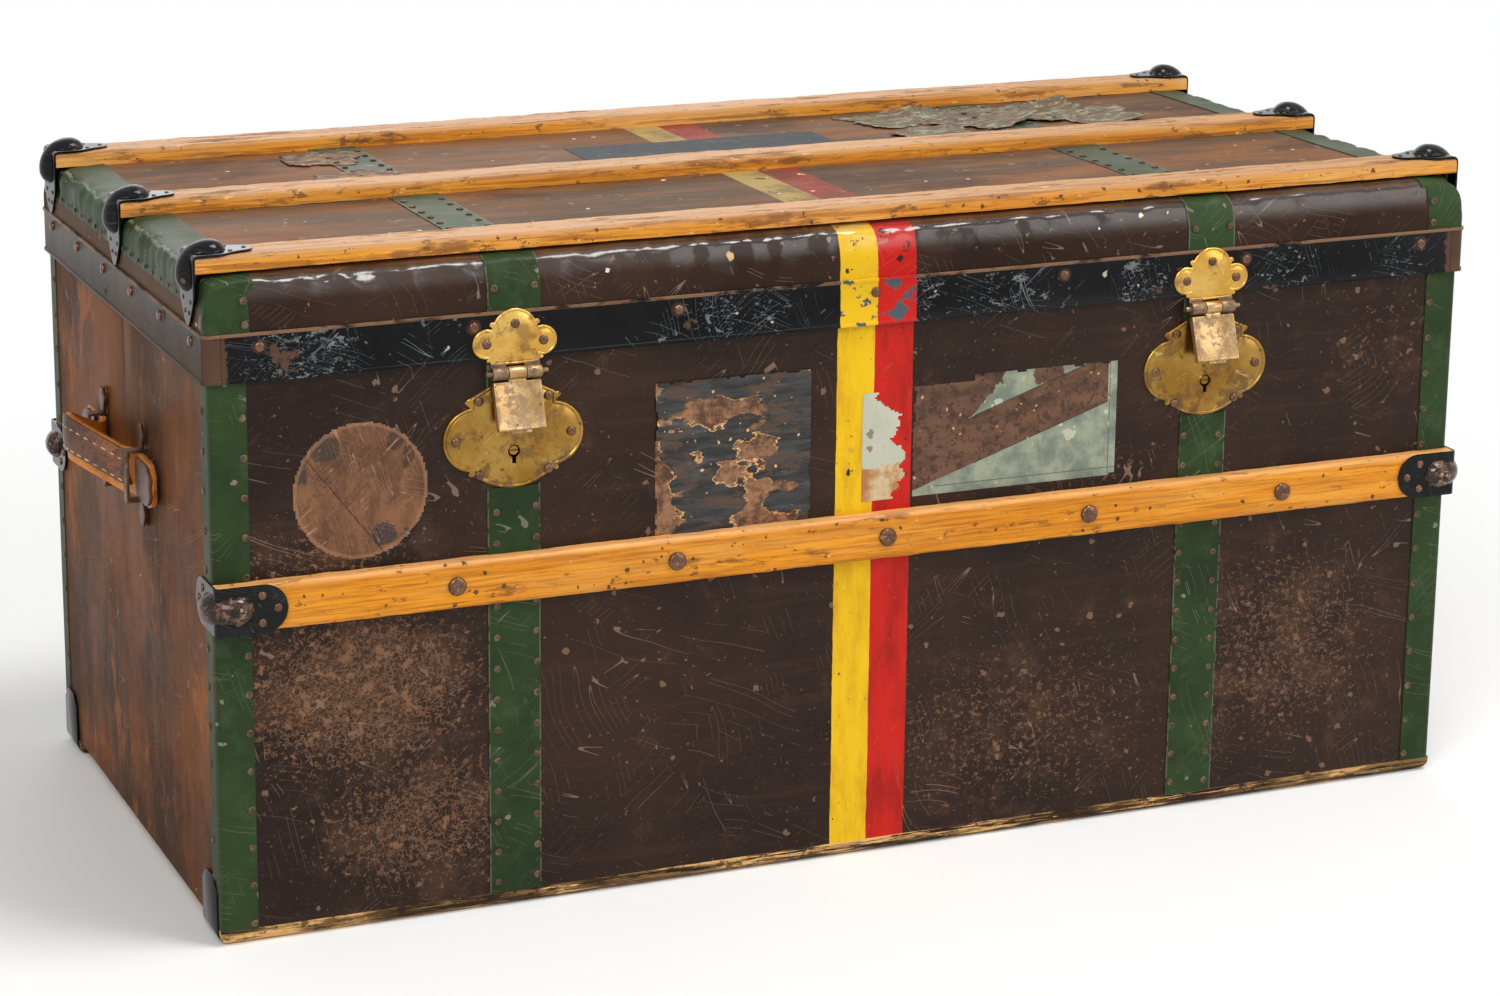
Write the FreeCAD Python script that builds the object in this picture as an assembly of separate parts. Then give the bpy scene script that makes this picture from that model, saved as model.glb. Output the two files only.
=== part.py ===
import FreeCAD, Part
import math
import os

V = FreeCAD.Vector
os.makedirs("parts", exist_ok=True)

# Sizes in millimetres. X runs along the trunk, Y towards its back, Z up, and the origin is on the floor.
body_length = 1060.0
body_depth = 500.0
ground_gap = 12.0
base_height = 440.0
lid_height = 63.0
board_thickness = 9.0
covering_thickness = 1.2
lining_thickness = 1.0
base_corner_radius = 4.0
lid_corner_radius = 5.0
lid_edge_radius = 12.0
lid_overhang = 3.0
overrun = 40.0

# Thin riveted bindings and bands.
binding_thickness = 1.0
binding_front_leg = 28.0
binding_end_leg = 20.0
binding_top_gap = 4.0
band_width = 42.0
band_inset = 234.0
lid_binding_top_width = 39.0
lid_binding_face_width = 34.0
lid_binding_low_rise = 14.0

# Metal valance round the lid's lower edge.
valance_thickness = 1.3
valance_height = 37.0
valance_lap = 16.0
valance_wrap = 12.0
bead_height = 2.8
bead_rise = 1.0

# Wooden slats.
slat_thickness = 12.0
slat_edge_radius = 3.0
side_slat_width = 37.0
side_slat_gap = 51.0
lid_slat_width = 40.0
lid_slat_inset = 35.0
bottom_slat_width = 52.0
bottom_slat_end_radius = 9.0

# Pressed iron clamps on the slat ends.
clamp_thickness = 1.6
clamp_bend_radius = 3.0
lid_clamp_width = 38.0
lid_clamp_tongue = 48.0
lid_clamp_leg_gap = 1.0
lid_clamp_tip_width = 12.0
lid_clamp_taper = 18.0
side_clamp_tongue = 54.0
side_clamp_leg = 52.0
plate_end_snips = 6
dome_radius = 12.6
dome_bend_radius = 13.4
dome_rise = 8.0
dome_sides = 10
dome_bend_rings = 3
dome_tip_rings = 2
dome_tip_angle = 78.0
bottom_clamp_width = 40.0
bottom_clamp_rise = 50.0
bottom_clamp_reach = 30.0
bottom_clamp_chamfer = 10.0

# Rivets.
rivet_sides = 6
rivet_crown_share = 0.55
slat_rivet_radius = 7.2
slat_rivet_rise = 3.4
slat_rivet_end_gap = 174.0
slat_rivet_shift = 10.5
slat_rivet_count = 5
valance_rivet_radius = 4.0
valance_rivet_rise = 2.0
valance_rivet_drop = 11.0
valance_rivet_end_gap = 38.0
valance_rivet_lock_gap = 32.0
end_rivet_end_gap = 30.0
end_rivet_count = 6
plate_rivet_radius = 3.6
plate_rivet_rise = 2.0

# Lock plate, its case and bolt.
lock_middle_drop = 51.0
lock_body_half_width = 33.0
lock_body_top = 40.0
lock_body_bottom = 39.0
lock_shoulder_half_width = 18.0
lock_shoulder_drop = 6.0
lock_lobe_radius = 26.5
lock_lobe_offset = 29.0
lock_plate_thickness = 2.4
lock_rivet_offset = 27.5
lock_rivet_rise = 29.5
lock_rivet_drop = 27.5
lock_side_rivet_offset = 46.0
keyhole_drop = 11.0
keyhole_radius = 5.0
key_slot_width = 3.4
key_slot_drop = 10.0
case_half_width = 27.0
case_height = 51.0
case_top_rise = 29.0
case_wall = 1.2
bolt_length = 19.0
bolt_height = 5.6
bolt_thickness = 3.6
bolt_gap = 2.2
bolt_rail = 1.4
bolt_play = 0.4

# Hasp plate, hinge barrel, hasp and staple.
hasp_axis_drop = 26.0
hasp_axis_rise = 8.0
hasp_barrel_radius = 5.0
hasp_barrel_half_length = 19.5
hasp_knuckle_half_length = 6.8
hasp_knuckle_gap = 0.5
hasp_pin_radius = 2.0
hasp_pin_right = 25.0
pin_clearance = 0.05
hasp_plate_thickness = 2.0
hasp_plate_top_rise = 48.5
hasp_plate_top_radius = 18.5
hasp_plate_lobe_radius = 11.5
hasp_plate_lobe_offset = 22.0
hasp_plate_lobe_rise = 22.5
hasp_plate_nail_rise = 37.0
hasp_plate_nail_offset = 22.5
hasp_half_width = 19.0
hasp_drop = 43.0
hasp_shoulder = 6.2
hasp_back_gap = 0.6
hasp_front_rise = 8.4
hasp_skin = 2.0
hasp_tab_half_width = 8.0
hasp_tab_drop = 2.2
hasp_tab_thickness = 2.4
hasp_rest_angle = 19.0
staple_thickness = 3.2
staple_frame = 2.3
staple_drop = 34.0
staple_eye_height = 7.2
staple_eye_depth = 5.0
staple_eye_sink = 0.3
slot_side_play = 0.8
slot_drop = 10.0
slot_rise = 6.9

# Back hinges, with a ledge that stops the lid.
hinge_inset = 145.0
hinge_half_width = 35.0
hinge_axis_drop = 21.0
hinge_axis_rise = 6.0
hinge_barrel_radius = 4.2
hinge_pin_radius = 1.8
hinge_knuckle_half_length = 12.0
hinge_gap = 0.5
hinge_leaf_thickness = 1.6
hinge_base_leaf_drop = 46.0
hinge_lid_leaf_rise = 35.0
lid_open_angle = 100.0
stop_reach_out = 14.0
stop_depth = 5.0
stop_clearance = 0.35

# End handles: a stiff strap held by two bridges.
handle_rise = 308.0
bridge_offset = 61.0
bridge_bar = 9.0
bridge_metal = 2.4
bridge_clearance = 0.45
bridge_opening_depth = 15.0
bridge_tip_length = 20.0
bridge_tip_width = 5.0
strap_width = 36.5
strap_thickness = 7.0
strap_axis_rise = 7.5
strap_bow = 40.0
strap_half_span = 54.0
strap_tail = 48.0
strap_lift = 20.0
strap_lift_start = 14.0
strap_steps = 12

# Lift-out tray on two runners.
runner_width = 12.0
runner_height = 18.0
tray_top_gap = 14.0
tray_play = 5.0
tray_bottom_thickness = 4.0
tray_wall_thickness = 8.0
tray_depth = 88.0
tab_width = 40.0
tab_drop = 60.0
tab_thickness = 3.0

# Derived places.
parting_height = ground_gap + base_height
lid_top_height = parting_height + lid_height
binding_top_height = parting_height - binding_top_gap
valance_bottom_height = parting_height - valance_lap
valance_top_height = valance_bottom_height + valance_height
lid_binding_low_height = valance_top_height + lid_binding_low_rise
valance_rivet_height = valance_top_height - valance_rivet_drop
lid_slat_top = lid_top_height + slat_thickness
lid_clamp_leg = lid_slat_top - valance_top_height - lid_clamp_leg_gap
hasp_axis_height = parting_height - hasp_axis_drop
staple_height = hasp_axis_height - staple_drop
slot_bottom_height = staple_height - slot_drop
slot_top_height = staple_height + slot_rise
lock_middle_height = hasp_axis_height - lock_middle_drop
keyhole_height = lock_middle_height - keyhole_drop
side_slat_height = lock_middle_height - lock_body_bottom - side_slat_gap - side_slat_width / 2
case_top_height = lock_middle_height + case_top_rise
case_bottom_height = case_top_height - case_height
hasp_plate_top_height = hasp_axis_height + hasp_plate_top_rise
hasp_plate_lobe_height = hasp_axis_height + hasp_plate_lobe_rise
hasp_plate_nail_height = hasp_axis_height + hasp_plate_nail_rise
hinge_axis_height = parting_height - hinge_axis_drop
handle_height = ground_gap + handle_rise
tray_top = parting_height - tray_top_gap
tray_bottom_height = tray_top - tray_depth
half_x = body_length / 2
half_y = body_depth / 2
wall_x = half_x - covering_thickness
wall_y = half_y - covering_thickness
cavity_x = wall_x - board_thickness
cavity_y = wall_y - board_thickness
room_x = cavity_x - lining_thickness
room_y = cavity_y - lining_thickness
floor_height = ground_gap + board_thickness
lid_x = half_x + lid_overhang
lid_y = half_y + lid_overhang
valance_rise = lid_overhang + valance_thickness
band_offset = half_x - band_inset
hinge_offset = half_x - hinge_inset
lid_slat_offset = lid_y - lid_slat_inset
case_depth = half_y - room_y
slat_rivet_pitch = 2 * (half_x - slat_rivet_end_gap) / (slat_rivet_count - 1)
valance_rivet_offset = band_offset + valance_rivet_lock_gap
end_rivet_pitch = 2 * (half_y - end_rivet_end_gap) / (end_rivet_count - 1)


def block(x0, x1, y0, y1, z0, z1):
    return Part.makeBox(x1 - x0, y1 - y0, z1 - z0, V(x0, y0, z0))


def near(a, b):
    return abs(a - b) < covering_thickness / 100


def rounded_block(x, y, z0, z1, radius):
    body = block(-x, x, -y, y, z0, z1)
    upright = [e for e in body.Edges
               if near(e.Vertexes[0].X, e.Vertexes[1].X) and near(e.Vertexes[0].Y, e.Vertexes[1].Y)]
    return body.makeFillet(radius, upright)


def crowned_block(x, y, z0, z1, corner, edge):
    # A box with rounded uprights under two rounded roofs, one along and one across.
    roof = block(-x, x, -y, y, z0, z1)
    top = [e for e in roof.Edges if all(near(v.Z, z1) for v in e.Vertexes)]
    along = roof.makeFillet(edge, [e for e in top if near(e.Vertexes[0].Y, e.Vertexes[1].Y)])
    across = roof.makeFillet(edge, [e for e in top if near(e.Vertexes[0].X, e.Vertexes[1].X)])
    return rounded_block(x, y, z0, z1, corner).common(along).common(across)


def prism(points, sweep):
    wire = Part.makePolygon([V(*p) for p in points] + [V(*points[0])])
    return Part.Face(wire).extrude(V(*sweep))


def faceted(rings):
    # Flat facets between rings of points, and a flat cap at each end.
    outlines = [rings[0], rings[-1]]
    for low, high in zip(rings, rings[1:]):
        for i in range(len(low)):
            outlines.append([low[i - 1], low[i], high[i]])
            outlines.append([low[i - 1], high[i], high[i - 1]])
    faces = [Part.Face(Part.makePolygon(points + points[:1])) for points in outlines]
    solid = Part.makeSolid(Part.makeShell(faces).removeSplitter())
    return solid if solid.Volume > 0 else solid.reversed()


def join(shapes):
    whole = shapes[0].multiFuse(shapes[1:]) if len(shapes) > 1 else shapes[0]
    return whole.removeSplitter()


def mirror_x(shape):
    return shape.mirror(V(0, 0, 0), V(1, 0, 0))


def mirror_y(shape):
    return shape.mirror(V(0, 0, 0), V(0, 1, 0))


def both_ends(shapes):
    return shapes + [mirror_x(s) for s in shapes]


def turned(shape, centre, axis, angle):
    copy = shape.copy()
    copy.rotate(V(*centre), V(*axis), angle)
    return copy


def moved(shape, x, y, z):
    copy = shape.copy()
    copy.translate(V(x, y, z))
    return copy


def save(name, shape):
    shape.exportStep(os.path.join("parts", name + ".step"))


def save_group(name, shapes):
    solids = [solid for shape in shapes for solid in shape.Solids]
    save(name, Part.makeCompound(solids))


# Base: a board box, its covering outside and its lining inside.
base_outer = rounded_block(half_x, half_y, ground_gap, parting_height, base_corner_radius)
base_core = rounded_block(wall_x, wall_y, ground_gap, parting_height, base_corner_radius - covering_thickness)
base_covering = base_outer.cut(base_core)
bottom_board = base_core.common(block(-half_x, half_x, -half_y, half_y, ground_gap, floor_height))
front_board = base_core.common(block(-half_x, half_x, -half_y, -cavity_y, floor_height, parting_height))
back_board = base_core.common(block(-half_x, half_x, cavity_y, half_y, floor_height, parting_height))
left_end_board = base_core.common(block(-half_x, -cavity_x, -cavity_y, cavity_y, floor_height, parting_height))
right_end_board = mirror_x(left_end_board)
base_lining = block(-cavity_x, cavity_x, -cavity_y, cavity_y, floor_height, parting_height)
base_lining = base_lining.cut(
    block(-room_x, room_x, -room_y, room_y, floor_height + lining_thickness, parting_height + overrun))

# Corner bindings and upright bands, cut from one thin shell outside the covering.
shell = rounded_block(half_x + binding_thickness, half_y + binding_thickness, ground_gap, binding_top_height,
                      base_corner_radius + binding_thickness)
shell = shell.cut(rounded_block(half_x, half_y, ground_gap - overrun, binding_top_height + overrun,
                                base_corner_radius))
corner_binding = shell.common(
    block(-half_x - overrun, -half_x + binding_front_leg, -half_y - overrun, -half_y + binding_end_leg,
          ground_gap, binding_top_height))
corner_bindings = both_ends([corner_binding, mirror_y(corner_binding)])
band_x0 = band_offset - band_width / 2
band_x1 = band_offset + band_width / 2
front_band = shell.common(block(band_x0, band_x1, -half_y - overrun, 0, ground_gap, binding_top_height))
base_bands = both_ends([front_band, mirror_y(front_band)])


# Lock plates, their cases, bolts and rivets.
def outward(rise):
    # Y of a plane this far in front of the covering.
    return -half_y - rise


def face_disc(x, z, radius, low, high):
    return Part.makeCylinder(radius, high - low, V(x, outward(low), z), V(0, -1, 0))


def face_block(x0, x1, z0, z1, low, high):
    return block(x0, x1, outward(high), outward(low), z0, z1)


def face_prism(outline, low, high):
    return prism([(x, outward(low), z) for x, z in outline], (0, low - high, 0))


def lock_outline(x):
    z = lock_middle_height
    half = lock_body_half_width
    top = z + lock_body_top
    bottom = z - lock_body_bottom
    shoulder = lock_shoulder_half_width
    drop = lock_shoulder_drop
    body = [(x - half, bottom + drop), (x - shoulder, bottom), (x + shoulder, bottom), (x + half, bottom + drop),
            (x + half, top - drop), (x + shoulder, top), (x - shoulder, top), (x - half, top - drop)]
    pieces = [face_prism(body, 0, lock_plate_thickness)]
    for side in (-1, 1):
        pieces.append(face_disc(x + side * lock_lobe_offset, z, lock_lobe_radius, 0, lock_plate_thickness))
    return join(pieces)


def rivet_head(x, z, low, radius, rise):
    # A low dome with flat facets, standing on a face.
    rings = []
    for share, y in ((1, outward(low)), (rivet_crown_share, outward(low + rise))):
        turns = [2 * math.pi * i / rivet_sides for i in range(rivet_sides)]
        rings.append([V(x + radius * share * math.cos(t), y, z + radius * share * math.sin(t)) for t in turns])
    return faceted(rings)


def lock_set(x):
    whole = lock_outline(x)
    keyhole = join([face_disc(x, keyhole_height, keyhole_radius, -overrun, overrun),
                    face_block(x - key_slot_width / 2, x + key_slot_width / 2, keyhole_height - key_slot_drop,
                               keyhole_height, -overrun, overrun)])
    half_slot = staple_thickness / 2 + slot_side_play
    slot = face_block(x - half_slot, x + half_slot, slot_bottom_height, slot_top_height, -overrun, overrun)
    plate = whole.cut(keyhole).cut(slot)
    case_x0 = x - case_half_width
    case_x1 = x + case_half_width
    recess = face_block(case_x0, case_x1, case_bottom_height, case_top_height, -case_depth, 0)
    case = recess.cut(face_block(case_x0 + case_wall, case_x1 - case_wall, case_bottom_height + case_wall,
                                 case_top_height - case_wall, case_wall - case_depth, overrun))
    eye_middle = -staple_eye_sink - staple_eye_depth / 2
    bolt_low = eye_middle - bolt_thickness / 2
    bolt_high = eye_middle + bolt_thickness / 2
    bolt_bottom = staple_height - bolt_height / 2
    bolt_top = staple_height + bolt_height / 2
    bolt_x0 = x + half_slot + bolt_gap
    bolt = face_block(bolt_x0, bolt_x0 + bolt_length, bolt_bottom, bolt_top, bolt_low, bolt_high)
    rails = []
    for z0, z1 in ((bolt_bottom - bolt_play - bolt_rail, bolt_bottom - bolt_play),
                   (bolt_top + bolt_play, bolt_top + bolt_play + bolt_rail)):
        rails.append(face_block(bolt_x0, bolt_x0 + bolt_length, z0, z1, case_wall - case_depth, bolt_high))
    rivets = [rivet_head(x + side * lock_rivet_offset, lock_middle_height + rise, lock_plate_thickness,
                         plate_rivet_radius, plate_rivet_rise)
              for side in (-1, 1) for rise in (lock_rivet_rise, -lock_rivet_drop)]
    rivets += [rivet_head(x + side * lock_side_rivet_offset, lock_middle_height, lock_plate_thickness,
                          plate_rivet_radius, plate_rivet_rise) for side in (-1, 1)]
    return {"plate": plate, "outline": whole, "recess": recess, "case": join([case] + rails), "bolt": bolt,
            "rivets": rivets}


locks = {"left": lock_set(-band_offset), "right": lock_set(band_offset)}
for lock in locks.values():
    front_board = front_board.cut(lock["recess"])
    base_covering = base_covering.cut(lock["recess"])
    base_lining = base_lining.cut(lock["recess"])
    base_bands = [band.cut(lock["outline"]) for band in base_bands]


# Hasp plates on the valance, with two outer knuckles; the hasp has the middle one.
def hasp_disc(x, x0, x1, radius):
    return Part.makeCylinder(radius, x1 - x0, V(x + x0, outward(hasp_axis_rise), hasp_axis_height), V(1, 0, 0))


def hasp_set(x):
    low = valance_rise
    high = valance_rise + hasp_plate_thickness
    knuckle_edge = hasp_knuckle_half_length + hasp_knuckle_gap
    barrel = hasp_barrel_half_length
    head_z = hasp_plate_top_height - hasp_plate_top_radius
    neck_z = hasp_axis_height + hasp_barrel_radius + hasp_knuckle_gap
    plate = [face_disc(x, head_z, hasp_plate_top_radius, low, high),
             face_block(x - barrel, x + barrel, neck_z, head_z, low, high)]
    for side in (-1, 1):
        plate.append(face_disc(x + side * hasp_plate_lobe_offset, hasp_plate_lobe_height, hasp_plate_lobe_radius,
                               low, high))
    for x0, x1 in ((-barrel, -knuckle_edge), (knuckle_edge, barrel)):
        plate.append(face_block(x + x0, x + x1, hasp_axis_height, neck_z, low, high))
        plate.append(hasp_disc(x, x0, x1, hasp_barrel_radius))
    plate = join(plate)
    # The pin is fast in the outer knuckles, so its solids run between them and out of one end.
    pin = [hasp_disc(x, x0, x1, hasp_pin_radius)
           for x0, x1 in ((-knuckle_edge, knuckle_edge), (barrel, hasp_pin_right))]
    nails = [rivet_head(x, hasp_plate_nail_height, high, plate_rivet_radius, plate_rivet_rise)]
    nails += [rivet_head(x + side * hasp_plate_nail_offset, hasp_plate_lobe_height, high, plate_rivet_radius,
                         plate_rivet_rise) for side in (-1, 1)]

    # The hasp as it lies when pressed home, then swung out to where it hangs.
    back = lock_plate_thickness + hasp_back_gap
    front = hasp_front_rise
    bottom = hasp_axis_height - hasp_drop
    top = hasp_axis_height - hasp_shoulder
    shell_block = face_block(x - hasp_half_width, x + hasp_half_width, bottom, top, back, front)
    hollow = face_block(x - hasp_half_width + hasp_skin, x + hasp_half_width - hasp_skin, bottom + hasp_skin,
                        top - hasp_skin, -overrun, front - hasp_skin)
    tab = face_block(x - hasp_tab_half_width, x + hasp_tab_half_width, bottom - hasp_tab_drop, bottom,
                     back, back + hasp_tab_thickness)
    knuckle = hasp_disc(x, -hasp_knuckle_half_length, hasp_knuckle_half_length, hasp_barrel_radius)
    web = face_block(x - hasp_knuckle_half_length, x + hasp_knuckle_half_length, top - hasp_skin,
                     hasp_axis_height, front - hasp_skin, front)
    eye_low = -staple_eye_sink - staple_eye_depth
    eye_high = -staple_eye_sink
    staple = face_block(x - staple_thickness / 2, x + staple_thickness / 2,
                        staple_height - staple_eye_height / 2 - staple_frame,
                        staple_height + staple_eye_height / 2 + staple_frame,
                        eye_low - staple_frame / 2, front - hasp_skin)
    eye = face_block(x - staple_thickness, x + staple_thickness, staple_height - staple_eye_height / 2,
                     staple_height + staple_eye_height / 2, eye_low, eye_high)
    hasp = join([shell_block.cut(hollow), tab, web, knuckle, staple.cut(eye)])
    hasp = hasp.cut(hasp_disc(x, -overrun, overrun, hasp_pin_radius + pin_clearance))
    hasp = turned(hasp, (x, outward(hasp_axis_rise), hasp_axis_height), (1, 0, 0), -hasp_rest_angle)
    return {"plate": plate, "pin": pin, "nails": nails, "hasp": hasp}


hasps = {"left": hasp_set(-band_offset), "right": hasp_set(band_offset)}


# Clamp for a slat end. The slat runs to +X from the end plane x = 0 and its face is z = 0.
def pointed_plate(length, start, width, tip, taper):
    points = [(start, -width / 2, 0), (length - taper, -width / 2, 0), (length, -tip / 2, 0),
              (length, tip / 2, 0), (length - taper, width / 2, 0), (start, width / 2, 0)]
    return prism(points, (0, 0, clamp_thickness))


def round_plate(length, start, width):
    # The round end is cut with a few straight snips.
    middle = length - width / 2
    turns = [math.pi * (i / plate_end_snips - 1 / 2) for i in range(plate_end_snips + 1)]
    points = [(start, width / 2, 0), (start, -width / 2, 0)]
    points += [(middle + width / 2 * math.cos(t), width / 2 * math.sin(t), 0) for t in turns]
    return prism(points, (0, 0, clamp_thickness))


def stood_down(plate):
    # Turns a tongue lying on the slat's face into a leg hanging down its end.
    return mirror_x(turned(plate, (0, 0, 0), (0, 1, 0), 90))


def bend_piece(width, bend):
    # A quarter of a tube about the corner's own centre.
    outer = Part.makeCylinder(bend + clamp_thickness, width, V(bend, -width / 2, -bend), V(0, 1, 0))
    inner = Part.makeCylinder(bend, width, V(bend, -width / 2, -bend), V(0, 1, 0))
    corner = block(-clamp_thickness, bend, -width / 2, width / 2, -bend, clamp_thickness)
    return outer.cut(inner).common(corner)


def dome_ring(x, z, angle, radius):
    # A ring across the dome, round a point of its middle line; the angle gives that line's outward side.
    points = []
    for i in range(dome_sides):
        turn = 2 * math.pi * i / dome_sides
        out = radius * math.cos(turn)
        points.append(V(x + out * math.cos(angle), radius * math.sin(turn), z + out * math.sin(angle)))
    return points


def bumper():
    # A ball drawn round the corner in a quarter circle, kept only where it stands outside the slat.
    high = clamp_thickness + dome_rise - dome_radius
    reach = dome_bend_radius - high
    slopes = [math.radians(dome_tip_angle) * (dome_tip_rings - i) / dome_tip_rings for i in range(dome_tip_rings)]
    rings = []
    for slope in slopes:
        rings.append(dome_ring(reach + dome_radius * math.sin(slope), high, math.pi / 2,
                               dome_radius * math.cos(slope)))
    for i in range(dome_bend_rings + 1):
        angle = math.pi / 2 * (1 + i / dome_bend_rings)
        rings.append(dome_ring(reach + dome_bend_radius * math.cos(angle),
                               -reach + dome_bend_radius * math.sin(angle), angle, dome_radius))
    for slope in slopes[::-1]:
        rings.append(dome_ring(-high, -reach - dome_radius * math.sin(slope), math.pi,
                               dome_radius * math.cos(slope)))
    inner = block(0, overrun + reach, -overrun, overrun, -overrun - reach, 0)
    edge = [e for e in inner.Edges if all(near(v.X, 0) and near(v.Z, 0) for v in e.Vertexes)]
    return faceted(rings).cut(inner.makeFillet(clamp_bend_radius, edge))


lid_clamp = join([
    pointed_plate(lid_clamp_tongue, clamp_bend_radius, lid_clamp_width, lid_clamp_tip_width, lid_clamp_taper),
    stood_down(pointed_plate(lid_clamp_leg, clamp_bend_radius, lid_clamp_width, lid_clamp_tip_width,
                             lid_clamp_taper)),
    bend_piece(lid_clamp_width, clamp_bend_radius), bumper()])
side_clamp = join([
    round_plate(side_clamp_tongue, clamp_bend_radius, side_slat_width),
    stood_down(round_plate(side_clamp_leg, clamp_bend_radius, side_slat_width)),
    bend_piece(side_slat_width, clamp_bend_radius), bumper()])
bottom_tip = bottom_clamp_width - 2 * bottom_clamp_chamfer
bottom_clamp = join([
    pointed_plate(bottom_clamp_reach, bottom_slat_end_radius, bottom_clamp_width, bottom_tip,
                  bottom_clamp_chamfer),
    stood_down(pointed_plate(bottom_clamp_rise, bottom_slat_end_radius, bottom_clamp_width, bottom_tip,
                             bottom_clamp_chamfer)),
    bend_piece(bottom_clamp_width, bottom_slat_end_radius)])


# Slats on the front and back, notched over the bindings, with their clamps and rivets.
def soft_bar(x, y0, y1, z0, z1, picked, radius):
    bar = block(-x, x, y0, y1, z0, z1)
    return bar.makeFillet(radius, [e for e in bar.Edges if all(picked(v) for v in e.Vertexes)])


slat_end_x = half_x + binding_thickness
front_slat = soft_bar(slat_end_x, -half_y - slat_thickness, -half_y, side_slat_height - side_slat_width / 2,
                      side_slat_height + side_slat_width / 2, lambda v: near(v.Y, -half_y - slat_thickness),
                      slat_edge_radius)
for trim in corner_bindings + base_bands:
    front_slat = front_slat.cut(trim)
back_slat = mirror_y(front_slat)
placed = turned(side_clamp, (0, 0, 0), (1, 0, 0), 90)
placed = moved(placed, -slat_end_x, -half_y - slat_thickness, side_slat_height)
side_clamps = both_ends([placed, mirror_y(placed)])
slat_rivets = []
for i in range(slat_rivet_count):
    rivet_x = slat_rivet_shift + (i - (slat_rivet_count - 1) / 2) * slat_rivet_pitch
    head = rivet_head(rivet_x, side_slat_height, slat_thickness, slat_rivet_radius, slat_rivet_rise)
    slat_rivets += [head, mirror_y(head)]

# Slats under the trunk; their clamps are let in flush.
bottom_slat = block(-slat_end_x, slat_end_x, -half_y, -half_y + bottom_slat_width, 0, ground_gap)
bottom_slat = bottom_slat.makeFillet(bottom_slat_end_radius, [
    e for e in bottom_slat.Edges if all(near(v.Z, 0) and near(abs(v.X), slat_end_x) for v in e.Vertexes)])
placed = bottom_clamp.mirror(V(0, 0, 0), V(0, 0, 1))
placed = moved(placed, -slat_end_x, -half_y + bottom_slat_width / 2, clamp_thickness)
bottom_clamps = both_ends([placed, mirror_y(placed)])
bottom_slats = [bottom_slat, mirror_y(bottom_slat)]
for clamp in bottom_clamps:
    bottom_slats = [slat.cut(clamp) for slat in bottom_slats]

# Lid: boards cut from one crowned core, covering outside, lining inside.
lid_outer = crowned_block(lid_x, lid_y, parting_height, lid_top_height, lid_corner_radius, lid_edge_radius)
skin = covering_thickness
lid_core = crowned_block(lid_x - skin, lid_y - skin, parting_height, lid_top_height - skin,
                         lid_corner_radius - skin, lid_edge_radius - skin)
lid_covering = lid_outer.cut(lid_core)
lid_wall_x = lid_x - skin - board_thickness
lid_wall_y = lid_y - skin - board_thickness
lid_ceiling = lid_top_height - skin - board_thickness
lid_top_board = lid_core.common(block(-lid_x, lid_x, -lid_y, lid_y, lid_ceiling, lid_top_height))
lid_front_board = lid_core.common(block(-lid_x, lid_x, -lid_y, -lid_wall_y, parting_height, lid_ceiling))
lid_back_board = lid_core.common(block(-lid_x, lid_x, lid_wall_y, lid_y, parting_height, lid_ceiling))
lid_left_board = lid_core.common(block(-lid_x, -lid_wall_x, -lid_wall_y, lid_wall_y, parting_height, lid_ceiling))
lid_right_board = mirror_x(lid_left_board)
lid_lining = block(-lid_wall_x, lid_wall_x, -lid_wall_y, lid_wall_y, parting_height, lid_ceiling)
lid_lining = lid_lining.cut(
    block(-lid_wall_x + lining_thickness, lid_wall_x - lining_thickness, -lid_wall_y + lining_thickness,
          lid_wall_y - lining_thickness, parting_height - overrun, lid_ceiling - lining_thickness))

# Lid bindings and bands, from a thin shell over the crowned block.
thin = binding_thickness
lid_shell = crowned_block(lid_x + thin, lid_y + thin, valance_top_height, lid_top_height + thin,
                          lid_corner_radius + thin, lid_edge_radius + thin).cut(lid_outer)
cap_region = block(-lid_x - overrun, -lid_x + lid_binding_top_width, -lid_wall_y, lid_wall_y,
                   lid_binding_low_height, lid_top_height + overrun)
strip_region = block(-lid_x - overrun, -lid_x + lid_binding_face_width, -lid_y - overrun, -lid_wall_y,
                     valance_top_height, lid_top_height + overrun)
lid_left_binding = lid_shell.common(join([cap_region, strip_region, mirror_y(strip_region)]))
lid_right_binding = mirror_x(lid_left_binding)
lid_band = lid_shell.common(block(band_x0, band_x1, -lid_y - overrun, lid_y + overrun, valance_top_height,
                                  lid_top_height + overrun))
lid_bands = both_ends([lid_band])

# Lid slats and clamps.
lid_slat_end_x = lid_x + thin
lid_slat = block(-lid_slat_end_x, lid_slat_end_x, -lid_slat_width / 2, lid_slat_width / 2, lid_top_height,
                 lid_slat_top)
lid_slat = lid_slat.makeFillet(slat_edge_radius, [
    e for e in lid_slat.Edges if all(near(v.Z, lid_slat_top) for v in e.Vertexes)])
lid_slats = {}
lid_clamps = []
for name, y in (("front", -lid_slat_offset), ("middle", 0), ("back", lid_slat_offset)):
    slat = moved(lid_slat, 0, y, 0)
    for trim in [lid_left_binding, lid_right_binding] + lid_bands:
        slat = slat.cut(trim)
    lid_slats[name] = slat
    lid_clamps += both_ends([moved(lid_clamp, -lid_slat_end_x, y, lid_slat_top)])


# Valance: a ring hugging the lid, with a bead along both edges, cut into four strips.
def ring(rise_in, rise_out, z0, z1):
    outer = rounded_block(half_x + rise_out, half_y + rise_out, z0, z1,
                          lid_corner_radius + rise_out - lid_overhang)
    return outer.cut(rounded_block(half_x + rise_in, half_y + rise_in, z0 - overrun, z1 + overrun,
                                   lid_corner_radius + rise_in - lid_overhang))


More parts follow.
